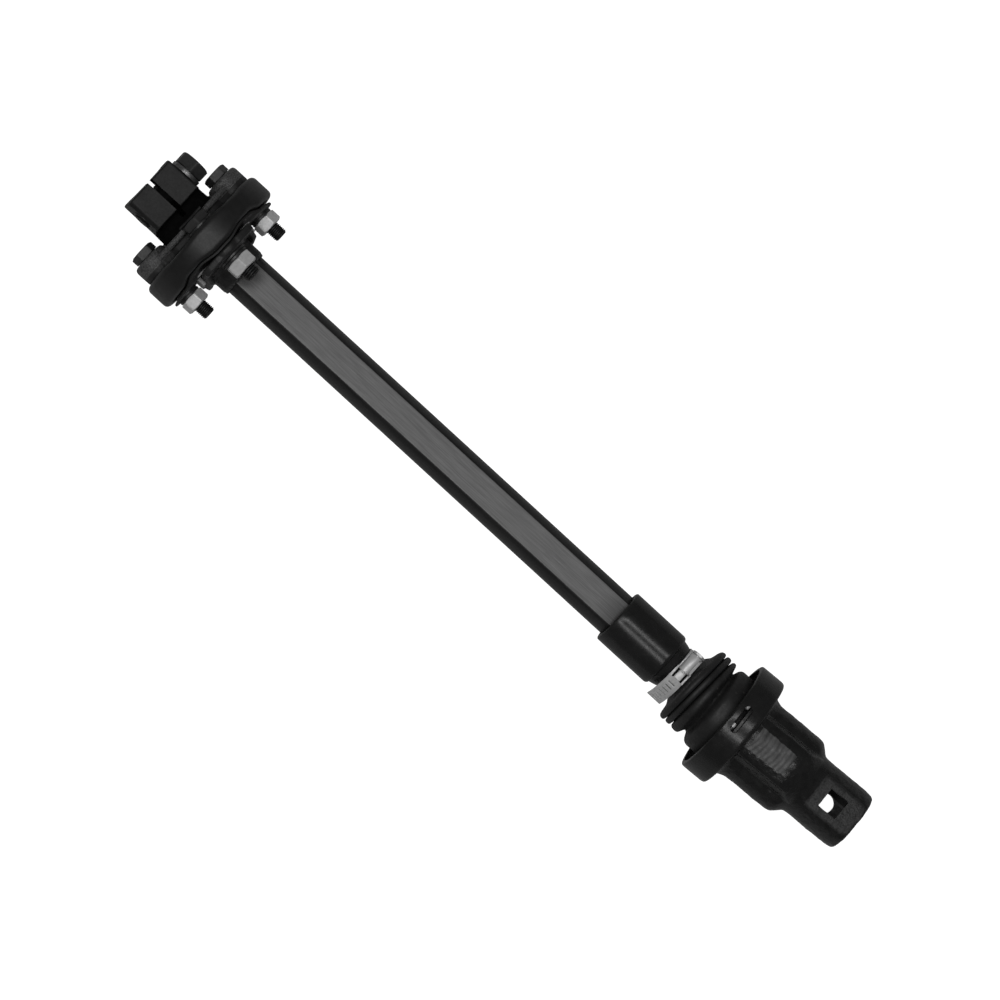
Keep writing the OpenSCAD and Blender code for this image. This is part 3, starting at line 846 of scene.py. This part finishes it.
def tube_side():
    fit(paint(shaft_flange(), "flange_black"), "tube", "forged_black", "shaft_flange")
    fit(paint(weld_bead(), "flange_black"), "tube", "forged_black")
    fit(paint(stop_plate(), "zinc_plate"), "tube", "zinc_plate", "stop_plate")
    bolts = at_top_and_bottom(
        lambda p: bolt("b", (32.4, 37.3), 58, 76.7, 14.3, 4.76, 1.41, turned_more(p, 30)))
    fit(paint(merged("shaft_bolts_threaded", bolts), "bolt_black"), "tube", "black_fastener", "shaft_bolts")
    washers = at_top_and_bottom(lambda p: pipe("w", 37.35, 38.75, 8.4, 4.9, p, 0.3))
    washers += at_top_and_bottom(lambda p: pipe("w", 60.65, 61.9, 8.4, 4.9, p, 0.25))
    washers += at_top_and_bottom(lambda p: lock_washer("w", 62.0, 63.7, 7.9, 4.9, turned_more(p, 200), 0.2))
    fit(paint(merged("shaft_bolt_washers_rounded", washers), "dark_steel"), "tube", "dark_steel",
        "shaft_bolt_washers")
    nuts = at_top_and_bottom(lambda p: nut("n", 63.7, 71.2, 14.3, 4.7, turned_more(p, 30)))
    fit(paint(merged("shaft_bolt_nuts_chamfered", nuts), "zinc_nut"), "tube", "zinc_nut", "shaft_bolt_nuts")
    fit(steering_tube(), "tube", "tube_steel", "steering_tube")


# ---- joint shaft ----

COLLAR_R = 16.2
NECK_R = 10.4
BAND_X = (380.9, 389.9)
BAND_R = 13.1
BAND_T = 0.7


def slip_collar():
    """Turned collar: chamfered front, two fine witness lines near the end, and a step down to the neck."""
    bore = double_d(TUBE_R + 0.15, TUBE_FLAT + 0.15)
    r = COLLAR_R
    outline = [(340.2, r - 0.9), (340.5, r - 0.35), (341.0, r), (345, r), (350, r), (356, r), (362, r), (368, r),
               (373.6, r), (374.4, r - 0.05), (375.3, r - 0.35), (375.9, r - 0.9), (376.1, 14.9), (376.2, 14.5),
               (376.6, 14.35), (378.4, 13.95), (380.4, 13.4), (380.9, 13.1), (381, 10.45)]
    rows = [(340.2, lambda a: bore(a) + 0.5)] + outline + [(373.6, 10.45), (373.5, bore), (341, bore)]
    angles = dd_angles(TUBE_R + 0.15, TUBE_FLAT + 0.15)
    return turned("slip_collar_turned", rows, closed=True, angles=angles, sharp=40)


def strip(name, path, stations, thick, lean=0.0):
    """A band that follows (y, z) points, with its thickness outwards; lean shifts it along X as it goes."""
    verts = []
    count = len(path)
    ring = [(x, 0) for x in stations] + [(x, thick) for x in reversed(stations)]
    around = len(ring)
    for i, (y, z) in enumerate(path):
        a = path[max(0, i - 1)]
        b = path[min(count - 1, i + 1)]
        tangent = Vector((b[0] - a[0], b[1] - a[1])).normalized()
        out = Vector((tangent.y, -tangent.x))
        if out.dot(Vector((y, z))) < 0:
            out = -out
        drift = lean * i / (count - 1)
        for x, h in ring:
            verts.append((x + drift, y + out.x * h, z + out.y * h))
    faces = [tuple(range(around)), tuple(range((count - 1) * around, count * around))]
    for i in range(count - 1):
        b = around * i
        faces += [(b + k, b + (k + 1) % around, b + (k + 1) % around + around, b + k + around)
                  for k in range(around)]
    return make(name, verts, faces, sharp=40)


def arc(r, start, end, steps, centre=(0, 0)):
    """(y, z) points of an arc, by angles in degrees from +Y towards +Z."""
    angles = [math.radians(start + (end - start) * k / steps) for k in range(steps + 1)]
    return [(centre[0] + r * math.cos(a), centre[1] + r * math.sin(a)) for a in angles]


def tail_path():
    """The free end of the band: from the housing over the top, then springing away from the neck."""
    return arc(14.0, 84, 112, 6) + arc(20.0, 114, 166, 14, centre=(0.4, -4.6))


CLAMP_X = 0.5 * (BAND_X[0] + BAND_X[1])
TAIL_LEAN = -1.2


def tail_slot(path, at):
    """A cutter for one slot of the band, at a fractional point of its path."""
    i = min(len(path) - 2, int(at))
    share = at - i
    ahead = (path[i + 1][0] - path[i][0], path[i + 1][1] - path[i][1])
    place = Matrix.Translation((CLAMP_X + TAIL_LEAN * at / (len(path) - 1), path[i][0] + ahead[0] * share,
                                path[i][1] + ahead[1] * share))
    place = place @ Matrix.Rotation(math.atan2(ahead[1], ahead[0]), 4, "X")
    return brick("slot", (-2.2, -0.36, -2), (2.2, 0.36, 2), 0.0, place)


def clamp_band():
    """Worm-drive band: closed loop round the sleeve, and a slotted tail that stands off it."""
    loop = arc(BAND_R, 40, 398, 90)
    stations = (BAND_X[0] + 0.4, CLAMP_X - 3.4, CLAMP_X - 1.9, CLAMP_X + 1.9, CLAMP_X + 3.4, BAND_X[1] - 0.4)
    path = tail_path()
    tail = strip("tail", path, (BAND_X[0], *stations[1:5], BAND_X[1]), BAND_T, lean=TAIL_LEAN)
    tail = cut(tail, *[tail_slot(path, 7.4 + 1.96 * k) for k in range(7)])
    parts = [strip("loop", loop, stations, BAND_T), tail]
    band = bevel(merged("clamp_band_slotted", parts), 0.1, 2, 50)
    paint(band, "stainless", "painted_shade_black")
    # Painted shade: the band's faces beside the clamp's tongue take the near-black shade finish.
    return paint_where(band, lambda c, n: -4.9 < c.y < 0.9 and c.z > 12 and 1.9 < abs(c.x - CLAMP_X) < 3.4)


def clamp_housing():
    """Formed housing of the worm: saddle, half-round cover that is open on one side, and folded tabs."""
    middle = CLAMP_X
    centre_z = 17.2
    y0, y1 = 0.2, 10.8
    cover = [(middle + 3.5 * math.cos(a), centre_z + 3.0 * math.sin(a))
             for a in (math.radians(52 + 138 * k / 18) for k in range(19))]
    inner = [(middle + 2.9 * math.cos(a), centre_z + 2.5 * math.sin(a))
             for a in (math.radians(190 - 138 * k / 18) for k in range(19))]
    parts = [bevel(prism("cover", cover + inner, y0, y1, "Y"), 0.15, 2, 40)]
    saddle = [(middle - 4.1, 13.9), (middle + 4.1, 13.9), (middle + 4.1, 14.6), (middle - 4.1, 14.6)]
    parts.append(bevel(prism("saddle", saddle, -0.3, 11.1, "Y"), 0.2, 2, 40))
    side = [(middle - 3.6, 14.4), (middle - 2.95, 14.4), (middle - 2.95, 17.6), (middle - 3.4, 17.6)]
    parts.append(bevel(prism("side", side, y0, y1, "Y"), 0.15, 2, 40))
    for y in (y0, y1 - 0.7):
        cheek = [(middle - 3.4, 14.5), (middle + 3.4, 14.5), (middle + 3.5, 16.6), (middle + 2.4, 19.3),
                 (middle, 20.1), (middle - 2.4, 19.3), (middle - 3.5, 16.6)]
        parts.append(bevel(prism("cheek", cheek, y, y + 0.7, "Y"), 0.12, 2, 40))
    tongue = [(middle - 1.9, 14.2), (middle + 1.9, 14.2), (middle + 1.9, 15.2), (middle - 1.9, 15.2)]
    parts.append(bevel(prism("tongue", tongue, -5.0, 0.4, "Y"), 0.3, 2, 40))
    for x in (middle - 4.3, middle + 3.4):
        rail = [(x, 13.9), (x + 0.9, 13.9), (x + 0.9, 15.0), (x, 15.0)]
        parts.append(bevel(prism("rail", rail, -5.6, 0.4, "Y"), 0.2, 2, 40))
    return merged("clamp_housing_formed", parts)


def clamp_screw():
    place = Matrix.Translation((CLAMP_X, 0, 17.2)) @ ALONG_Y
    rows = [(1.0, 0), (1.0, 1.8), (1.4, 2.1)] + thread_rows(1.4, 10.0, 2.5, 1.5, steps=10)
    rows += [(10.4, 2.0), (11.25, 2.0), (11.3, 3.3), (11.4, 3.5)] + hex_rows(11.4, 12.7, 7, False, True)
    rows += [(12.4, 2.9), (12.4, 0)]
    screw = turned("clamp_screw_worm", rows, place, count=72)
    return cut(screw, brick("drive", (12.0, -4, -0.45), (14, 4, 0.45), 0.0, place))


def joint_shaft_side():
    fit(paint(slip_collar(), "satin_black"), "joint_shaft", "satin_black", "slip_collar")
    fit(clamp_band(), "joint_shaft", "stainless", "clamp_band")
    fit(paint(clamp_housing(), "stainless"), "joint_shaft", "stainless", "clamp_housing")
    fit(paint(clamp_screw(), "stainless"), "joint_shaft", "stainless_screw", "clamp_screw")


# ---- rubber boot ----

SPLIT_ONE = 397.4
SPLIT_TWO = 407.7


def boot_outline():
    """Outer surface as (station, radius): sleeve, shoulder, three folds, valley, and the plain ring."""
    shape = [(381.4, 13.0), (384, 13.0), (388, 13.0), (389.2, 13.1), (389.9, 13.8), (390.6, 15.0), (391.6, 16.4),
             (392.2, 17.6), (392.6, 19.4), (393.0, 21.6), (393.6, 23.2), (394.4, 24.0), (395.3, 24.3),
             (396.2, 24.2), (396.9, 23.7), (397.25, 22.6), (SPLIT_ONE, 21.3)]
    shape += [(397.55, 22.6), (397.9, 23.6), (398.6, 24.0), (399.6, 24.1), (400.5, 23.9), (401.1, 23.2),
              (401.35, 21.8), (401.5, 20.6), (401.65, 21.8), (401.95, 23.1), (402.7, 23.9), (403.8, 24.2),
              (404.9, 24.1), (405.8, 23.5), (406.4, 22.2), (406.9, 20.8), (407.3, 19.9), (SPLIT_TWO, 19.6)]
    shape += [(408.2, 19.8), (408.8, 20.6), (409.3, 21.9), (409.9, 23.1), (410.7, 24.0), (411.8, 24.6),
              (413.2, 24.8), (416, 24.8), (419, 24.7), (420.4, 24.2), (421.4, 23.2), (422.2, 22.6), (424.2, 22.4),
              (425.6, 22.6), (425.9, 23.4), (426.0, 30.0), (426.3, 30.6), (427.3, 30.8), (427.9, 30.6)]
    return shape


def eased(x, start, end):
    share = min(1.0, max(0.0, (x - start) / (end - start)))
    return share * share * (3 - 2 * share)


def boot_ring_place(x):
    """Rings lie square to the sleeve, lean to the gear end in the folds, then take the housing's angle."""
    turn = TILT * eased(x, 401.5, 410) - math.radians(2.6) * eased(x, 389, 394) * (1 - eased(x, 401.5, 410))
    lean = math.radians(-4.6) * eased(x, 389.5, 394) * (1 - eased(x, 402.5, 412.5))
    axis_y = (x - PIVOT.x) * math.tan(TILT)
    place = Matrix.Translation((x, axis_y * eased(x, 396, 422), 0))
    return place @ Matrix.Rotation(turn, 4, "Z") @ Matrix.Rotation(lean, 4, "Y")


def boot_segment(name, outer, thick, count=144):
    """A closed shell between two stations, with ripples of soft rubber a few hundredths deep."""
    inner = [(x, max(NECK_R + 0.1, r - thick)) for x, r in reversed(outer)]
    verts = []
    rings = outer + inner
    for i, (x, r) in enumerate(rings):
        place = boot_ring_place(x)
        for k in range(count):
            a = 2 * math.pi * k / count
            soft = noise.noise(Vector((x * 0.3, 2.6 * math.cos(a), 2.6 * math.sin(a)))) * 0.3
            radius = r + (soft if i < len(outer) and x > 391 else 0)
            verts.append(place @ Vector((0, radius * math.cos(a), radius * math.sin(a))))
    faces = []
    total = len(rings)
    for i in range(total):
        j = (i + 1) % total
        faces += [(i * count + k, i * count + (k + 1) % count, j * count + (k + 1) % count, j * count + k)
                  for k in range(count)]
    return make(name, verts, faces, sharp=75)


def boot():
    """Three shells of the boot that meet in creases."""
    shape = boot_outline()
    one = [p for p in shape if p[0] <= SPLIT_ONE]
    two = [p for p in shape if SPLIT_ONE <= p[0] <= SPLIT_TWO]
    three = [p for p in shape if p[0] >= SPLIT_TWO]
    made = [boot_segment("boot_first_fold", one, 1.6), boot_segment("boot_folds", two, 1.2),
            boot_segment("boot_skirt", three, 1.6)]
    spans = [("joint_shaft", "bearing_blocks", 390.2, 396.8), ("bearing_blocks", "seat", 398, 407),
             ("seat", "housing", 408.2, 414)]
    for piece, (a, b, start, end) in zip(made, spans):
        paint(piece, "boot_rubber")
        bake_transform(piece)
    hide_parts("boot")


# ---- joint housing ----

def lobe(side):
    """One of the two round lobes over the bearing tracks, flared where it leaves the ring."""
    outline = [(-13, 0, 0), (-13, 19.4, 1), (-11.2, 18.4, 1.6), (-9.6, 15.0, 3.0), (-5.6, 13.5, 3.6),
               (24.6, 13.4, 2.6), (30.8, 7.4, 1.0), (30.8, 0, 0)]
    place = HOUSING @ Matrix.Translation((0, side * 10.5, 0))
    return turned("lobe", rounded(outline, closed=False), place)


LUMPS = [(-4.2, -13.2, 13.0, 0.8), (-2.6, -15.0, 12.4, 1.0), (0.4, -13.8, 12.9, 0.7), (3.4, -14.6, 12.6, 0.9),
         (7.6, -12.4, 13.2, 0.9), (8.4, -13.6, 12.9, 0.6), (14.6, 11.8, 18.2, 0.9), (18.4, 12.4, 17.2, 1.0),
         (20.4, 11.6, 17.8, 0.8), (22.0, 12.6, 15.8, 0.9), (-6.6, -19.6, 9.6, 1.0), (-5.4, -22.0, 6.4, 0.9),
         (30.6, 8.4, 15.6, 0.8), (33.2, 5.8, 16.2, 0.7)]


def casting_lumps():
    """Small raised flaws of the forging, where the flash was struck off."""
    return [turned("lump", [(-r, 0), (-r * 0.6, r * 0.8), (0, r), (r * 0.6, r * 0.8), (r, 0)],
                   HOUSING @ Matrix.Translation((t, y, z)), count=12) for t, y, z, r in LUMPS]


def pot_body():
    ring = [(-26.8, 0, 0), (-26.8, 34.0, 0.7), (-25, 34.1, 1),
            (-13, 34.1, 1), (-11.4, 33.6, 1.6), (-11.4, 0, 0)]
    parts = [turned("ring", rounded(ring, closed=False), HOUSING)]
    parts += [lobe(-1), lobe(1)]
    band = [(-15.4, 9), (-14.5, 14), (-12.6, 18.5), (-10.7, 22.4),
            (10.7, 22.4), (12.6, 18.5), (14.5, 14), (15.4, 9)]
    band += [(-y, -z) for y, z in band]
    crown = [(-13, 0, 0), (-13, 24.5, 1), (19.4, 24.3, 5), (25.0, 21.6, 5), (33.8, 16.0, 3), (33.8, 0, 0)]
    round_top = turned("crown", rounded(crown, closed=False), HOUSING, count=144)
    outline = [(y, z * 1.6) if abs(z) > 20 else (y, z) for y, z in band]
    keep = prism("keep", outline, -12.8, 33.7, place=HOUSING)
    parts.append(boolean(round_top, keep, "INTERSECT"))
    flare = [(y * 1.18, z * 1.07) for y, z in band]
    parts.append(bevel(prism("flare", flare, -12.4, -10.0, place=HOUSING), 0.8, 2))
    shoulder = [(14, 0, 0), (14, 19.0, 3), (26, 19.0, 3), (33, 18.0, 3), (36, 18.0, 1), (36, 0, 0)]
    shoulder = turned("shoulder", rounded(shoulder, closed=False), HOUSING)
    fall = [(10, -19), (26, -19), (35.5, -15.7), (40, -15.7), (40, 15.7), (35.5, 15.7), (26, 19), (10, 19)]
    parts.append(boolean(shoulder, prism("fall", fall, -22, 22, "Y", place=HOUSING), "INTERSECT"))
    stub = [(24, 0, 0), (24, 18.0, 1), (60, 18.0, 3), (64.2, 17.0, 1.6), (64.2, 0, 0)]
    stub = turned("stub", rounded(stub, closed=False), HOUSING)
    flats = prism("flats", [(-20, -15.5), (20, -15.5), (20, 15.5), (-20, 15.5)], 20, 70, place=HOUSING)
    parts.append(boolean(stub, flats, "INTERSECT"))
    return cast("pot_housing_forging", parts + casting_lumps(), 0.6, 5)


def forged_skin(body):
    """Roughens the outside of the barrel and stub, and leaves the ring, bores and milled flats as they are."""
    back = HOUSING.inverted()

    def amount(place):
        t, y, z = back @ place
        out = math.hypot(y, z)
        if abs(z) > 23.45 or out < 14 or (t < 20 and out < 19 and abs(z) < 8):
            return 0
        smooth_neck = eased(t, 24, 30) * (1 - eased(t, 34, 37))
        return eased(t, -11, -8) * (1 - 0.75 * smooth_neck)

    return roughen(body, ((2.6, 0.17), (0.9, 0.06), (9.0, 0.14)), amount)


def pot_housing():
    body = pot_body()
    cutters = []
    for side in (-1, 1):
        z = sorted((side * 23.5, side * 28))
        cutters.append(brick("flat", (-7.9, -13, z[0]), (15.7, 13, z[1]), 0.0, HOUSING))
    mouth = [(-29, 0, 0), (-29, 31.9, 0), (-26.2, 31.0, 0.3), (-23.4, 31.0, 0),
             (-23.4, 32.7, 0.1), (-20.6, 32.7, 0.1),
             (-20.6, 31.0, 0), (-16, 31.0, 0.4), (-16, 20, 0.3), (-9, 16.2, 1), (20, 16.2, 0.8), (20, 9.9, 0.4),
             (27, 9.9, 0.8), (27, 0, 0)]
    cutters.append(turned("mouth", rounded(mouth, closed=False), HOUSING, count=144))
    track = [(-17.3, -8.05), (17.3, -8.05), (19.4, -4.7), (19.4, 4.7), (17.3, 8.05), (-17.3, 8.05), (-19.4, 4.7),
             (-19.4, -4.7)]
    cutters.append(prism("track", track, -18, 20.05, place=HOUSING))
    column = [(34.2, 0, 0), (34.2, 12.75, 0.4), (63.6, 12.75, 0), (66, 14.6, 0), (66, 0, 0)]
    cutters.append(turned("column_bore", rounded(column, closed=False), HOUSING, count=96))
    cutters.append(brick("square_hole", (41.7, -5.8, 5), (53.3, 5.8, 22), 0.5, HOUSING, 3))
    cutters.append(rod("round_hole", -22, -5, 5.3, HOUSING @ Matrix.Translation((47.5, 0, 0)) @
                       Matrix.Rotation(math.radians(-90), 4, "Y"), count=64))
    window = [(-20.8 + 2.4 * math.cos(a), 7.7 + 2.4 * math.sin(a)) for a in
              (math.radians(180 - 15 * k) for k in range(13))]
    window += [(-20.8 + 2.4 * math.cos(a), -4.5 + 2.4 * math.sin(a)) for a in
               (math.radians(-15 * k) for k in range(13))]
    cutters.append(prism("window", window, 28, 38, "Z", place=HOUSING))
    body = forged_skin(cut(body, *cutters, sharp=38))
    paint(body, "pot_black", "milled_flat", "pot_rough", "satin_black")
    back = HOUSING.inverted()

    def local(c):
        return back @ c

    paint_where(body, lambda c, n: abs(abs(local(c).z) - 23.5) < 0.08 and abs(n.z) > 0.9 and local(c).x < 16)
    paint_where(body, lambda c, n: abs(abs(local(c).z) - 15.5) < 0.8
                and local(c).x > 35.2 and abs(n.z) > 0.7, 2)
    return paint_where(body, lambda c, n: Vector((0, *local(c)[1:])).length > 32.9 and local(c).x < -12.8, 3)


def snap_ring():
    """Wire ring whose two bright cut ends show in the window."""
    start, end = math.radians(93.3), math.radians(434.8)
    ring = coil_tube("snap_ring_wire", 31.0, 1.35, start, end, 160, lambda share: -22.0, squash=0.86)
    back = HOUSING.inverted()
    paint(ring, "ring_wire", "stainless")
    return paint_where(ring, lambda c, n: (back @ c).z > 20 and -4.6 < (back @ c).y < 10.5)


def coil_tube(name, r, wire, start, end, count, station, squash=1.0):
    """A round wire that runs round X from one angle to another, at stations that a function gives."""
    ring = 14
    verts = []
    for i in range(count + 1):
        share = i / count
        a = start + (end - start) * share
        blunt = 1.0 if 0 < i < count else 0.8
        for k in range(ring):
            b = 2 * math.pi * k / ring
            radius = r + wire * blunt * math.cos(b)
            verts.append((station(share) + wire * squash * blunt * math.sin(b), radius * math.cos(a),
                          radius * math.sin(a)))
    faces = [tuple(range(ring)), tuple(range(count * ring, count * ring + ring))]
    for i in range(count):
        here, there = i * ring, (i + 1) * ring
        faces += [(here + k, here + (k + 1) % ring, there + (k + 1) % ring, there + k)
                  for k in range(ring)]
    return make(name, verts, faces, HOUSING, sharp=50)


def centering_spring():
    def station(share):
        dead = 0.09
        run = min(1.0, max(0.0, (share - dead) / (1 - 2 * dead)))
        return 17.9 + 8.1 * run + (share - run) * 0.5
    return coil_tube("centering_spring_coil", 6.3, 0.8, 0, 2 * math.pi * 5.5, 260, station)


def housing_side():
    fit(pot_housing(), "housing", "forged_black_gloss", "pot_housing")
    fit(snap_ring(), "housing", "spring_wire", "snap_ring")
    spring = paint(centering_spring(), "spring_wire")
    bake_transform(spring)
    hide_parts("centering_spring")


# ---- studio ----

def camera():
    """Looks at the shaft from above, a little from -Y, rolled so that the shaft runs down to the right."""
    tip = math.radians(6.0)
    swing = math.radians(2.0)
    turn = math.radians(42.52)
    rise = Vector((0, math.cos(tip), math.sin(tip)))
    over = Vector((0, -math.sin(tip), math.cos(tip)))
    back = over * math.cos(swing) - Vector((math.sin(swing), 0, 0))
    along = rise.cross(back)
    right = along * math.cos(turn) + rise * math.sin(turn)
    top = rise * math.cos(turn) - along * math.sin(turn)
    data = bpy.data.cameras.new("camera")
    data.lens = 168.9
    data.sensor_width = 36
    data.clip_end = 20
    cam = bpy.data.objects.new("camera", data)
    cam.matrix_world = Matrix((right, top, back)).transposed().to_4x4()
    cam.location = Vector((252.5, 3.3, 0)) * MM + back * 2.5
    bpy.context.scene.collection.objects.link(cam)
    bpy.context.scene.camera = cam
    return back, rise


def softbox(name, towards, target, distance, size, power, spread_deg=180):
    data = bpy.data.lights.new(name, "AREA")
    data.shape = "RECTANGLE"
    data.size, data.size_y = size
    data.energy = power
    data.spread = math.radians(spread_deg)
    light = bpy.data.objects.new(name, data)
    light.location = target + towards.normalized() * distance
    light.rotation_mode = "QUATERNION"
    light.rotation_quaternion = towards.to_track_quat("Z", "Y")
    bpy.context.scene.collection.objects.link(light)


def studio():
    back, rise = camera()
    target = Vector((252.5, 0, 0)) * MM
    for side in (-1, 1):
        lean = back + rise * math.tan(math.radians(11)) * side
        softbox("softbox", lean, target, 2.9, (2.4, 0.42), 13)
    floor = prism("floor", [(-6000, -6000), (6500, -6000), (6500, 6000), (-6000, 6000)], -2, 0, "Z")
    slope = math.atan2(7.2, 380)
    floor.matrix_world = Matrix.Translation((0.045, 0, -0.0414)) @ Matrix.Rotation(-slope, 4, "Y")
    mat = bpy.data.materials.new("floor_white")
    mat.use_nodes = True
    tree = mat.node_tree
    shader = tree.nodes["Principled BSDF"]
    tone = ramp(tree, cloud(tree, in_mm(tree), 180), 0.3, 0.7, greys(0.60, 0.62))
    tree.links.new(tone, shader.inputs["Base Color"])
    shader.inputs["Roughness"].default_value = 0.9
    shader.inputs["Specular IOR Level"].default_value = 0.0
    shader.inputs["Emission Color"].default_value = (1, 1, 1, 1)
    seen = node(tree, "LightPath").outputs["Is Camera Ray"]
    tree.links.new(spread(tree, seen, 0, 1, 0.0, 1.0), shader.inputs["Emission Strength"])
    floor.data.materials.append(mat)
    world = bpy.data.worlds.new("studio")
    bpy.context.scene.world = world
    world.use_nodes = True
    tree = world.node_tree
    sky = tree.nodes["Background"]
    sky.inputs["Color"].default_value = (1, 1, 1, 1)
    share = node(tree, "LightPath").outputs["Is Camera Ray"]
    tree.links.new(spread(tree, share, 0, 1, 0.10, 1.0), sky.inputs["Strength"])
    bpy.context.scene.view_settings.view_transform = "Standard"


studio()
gear_side()
disc()
tube_side()
joint_shaft_side()
boot()
housing_side()
carry_over({
    "inner_shaft": ("ground_steel", "ground_steel"),
    "cross_pin": ("ground_steel", "ground_steel"),
    "bearing_block_left": ("bronze", "bronze"),
    "bearing_block_right": ("bronze", "bronze"),
    "thrust_seat": ("seat_plastic", "seat_plastic"),
    "boot_retainer": ("dark_steel", "dark_steel"),
})
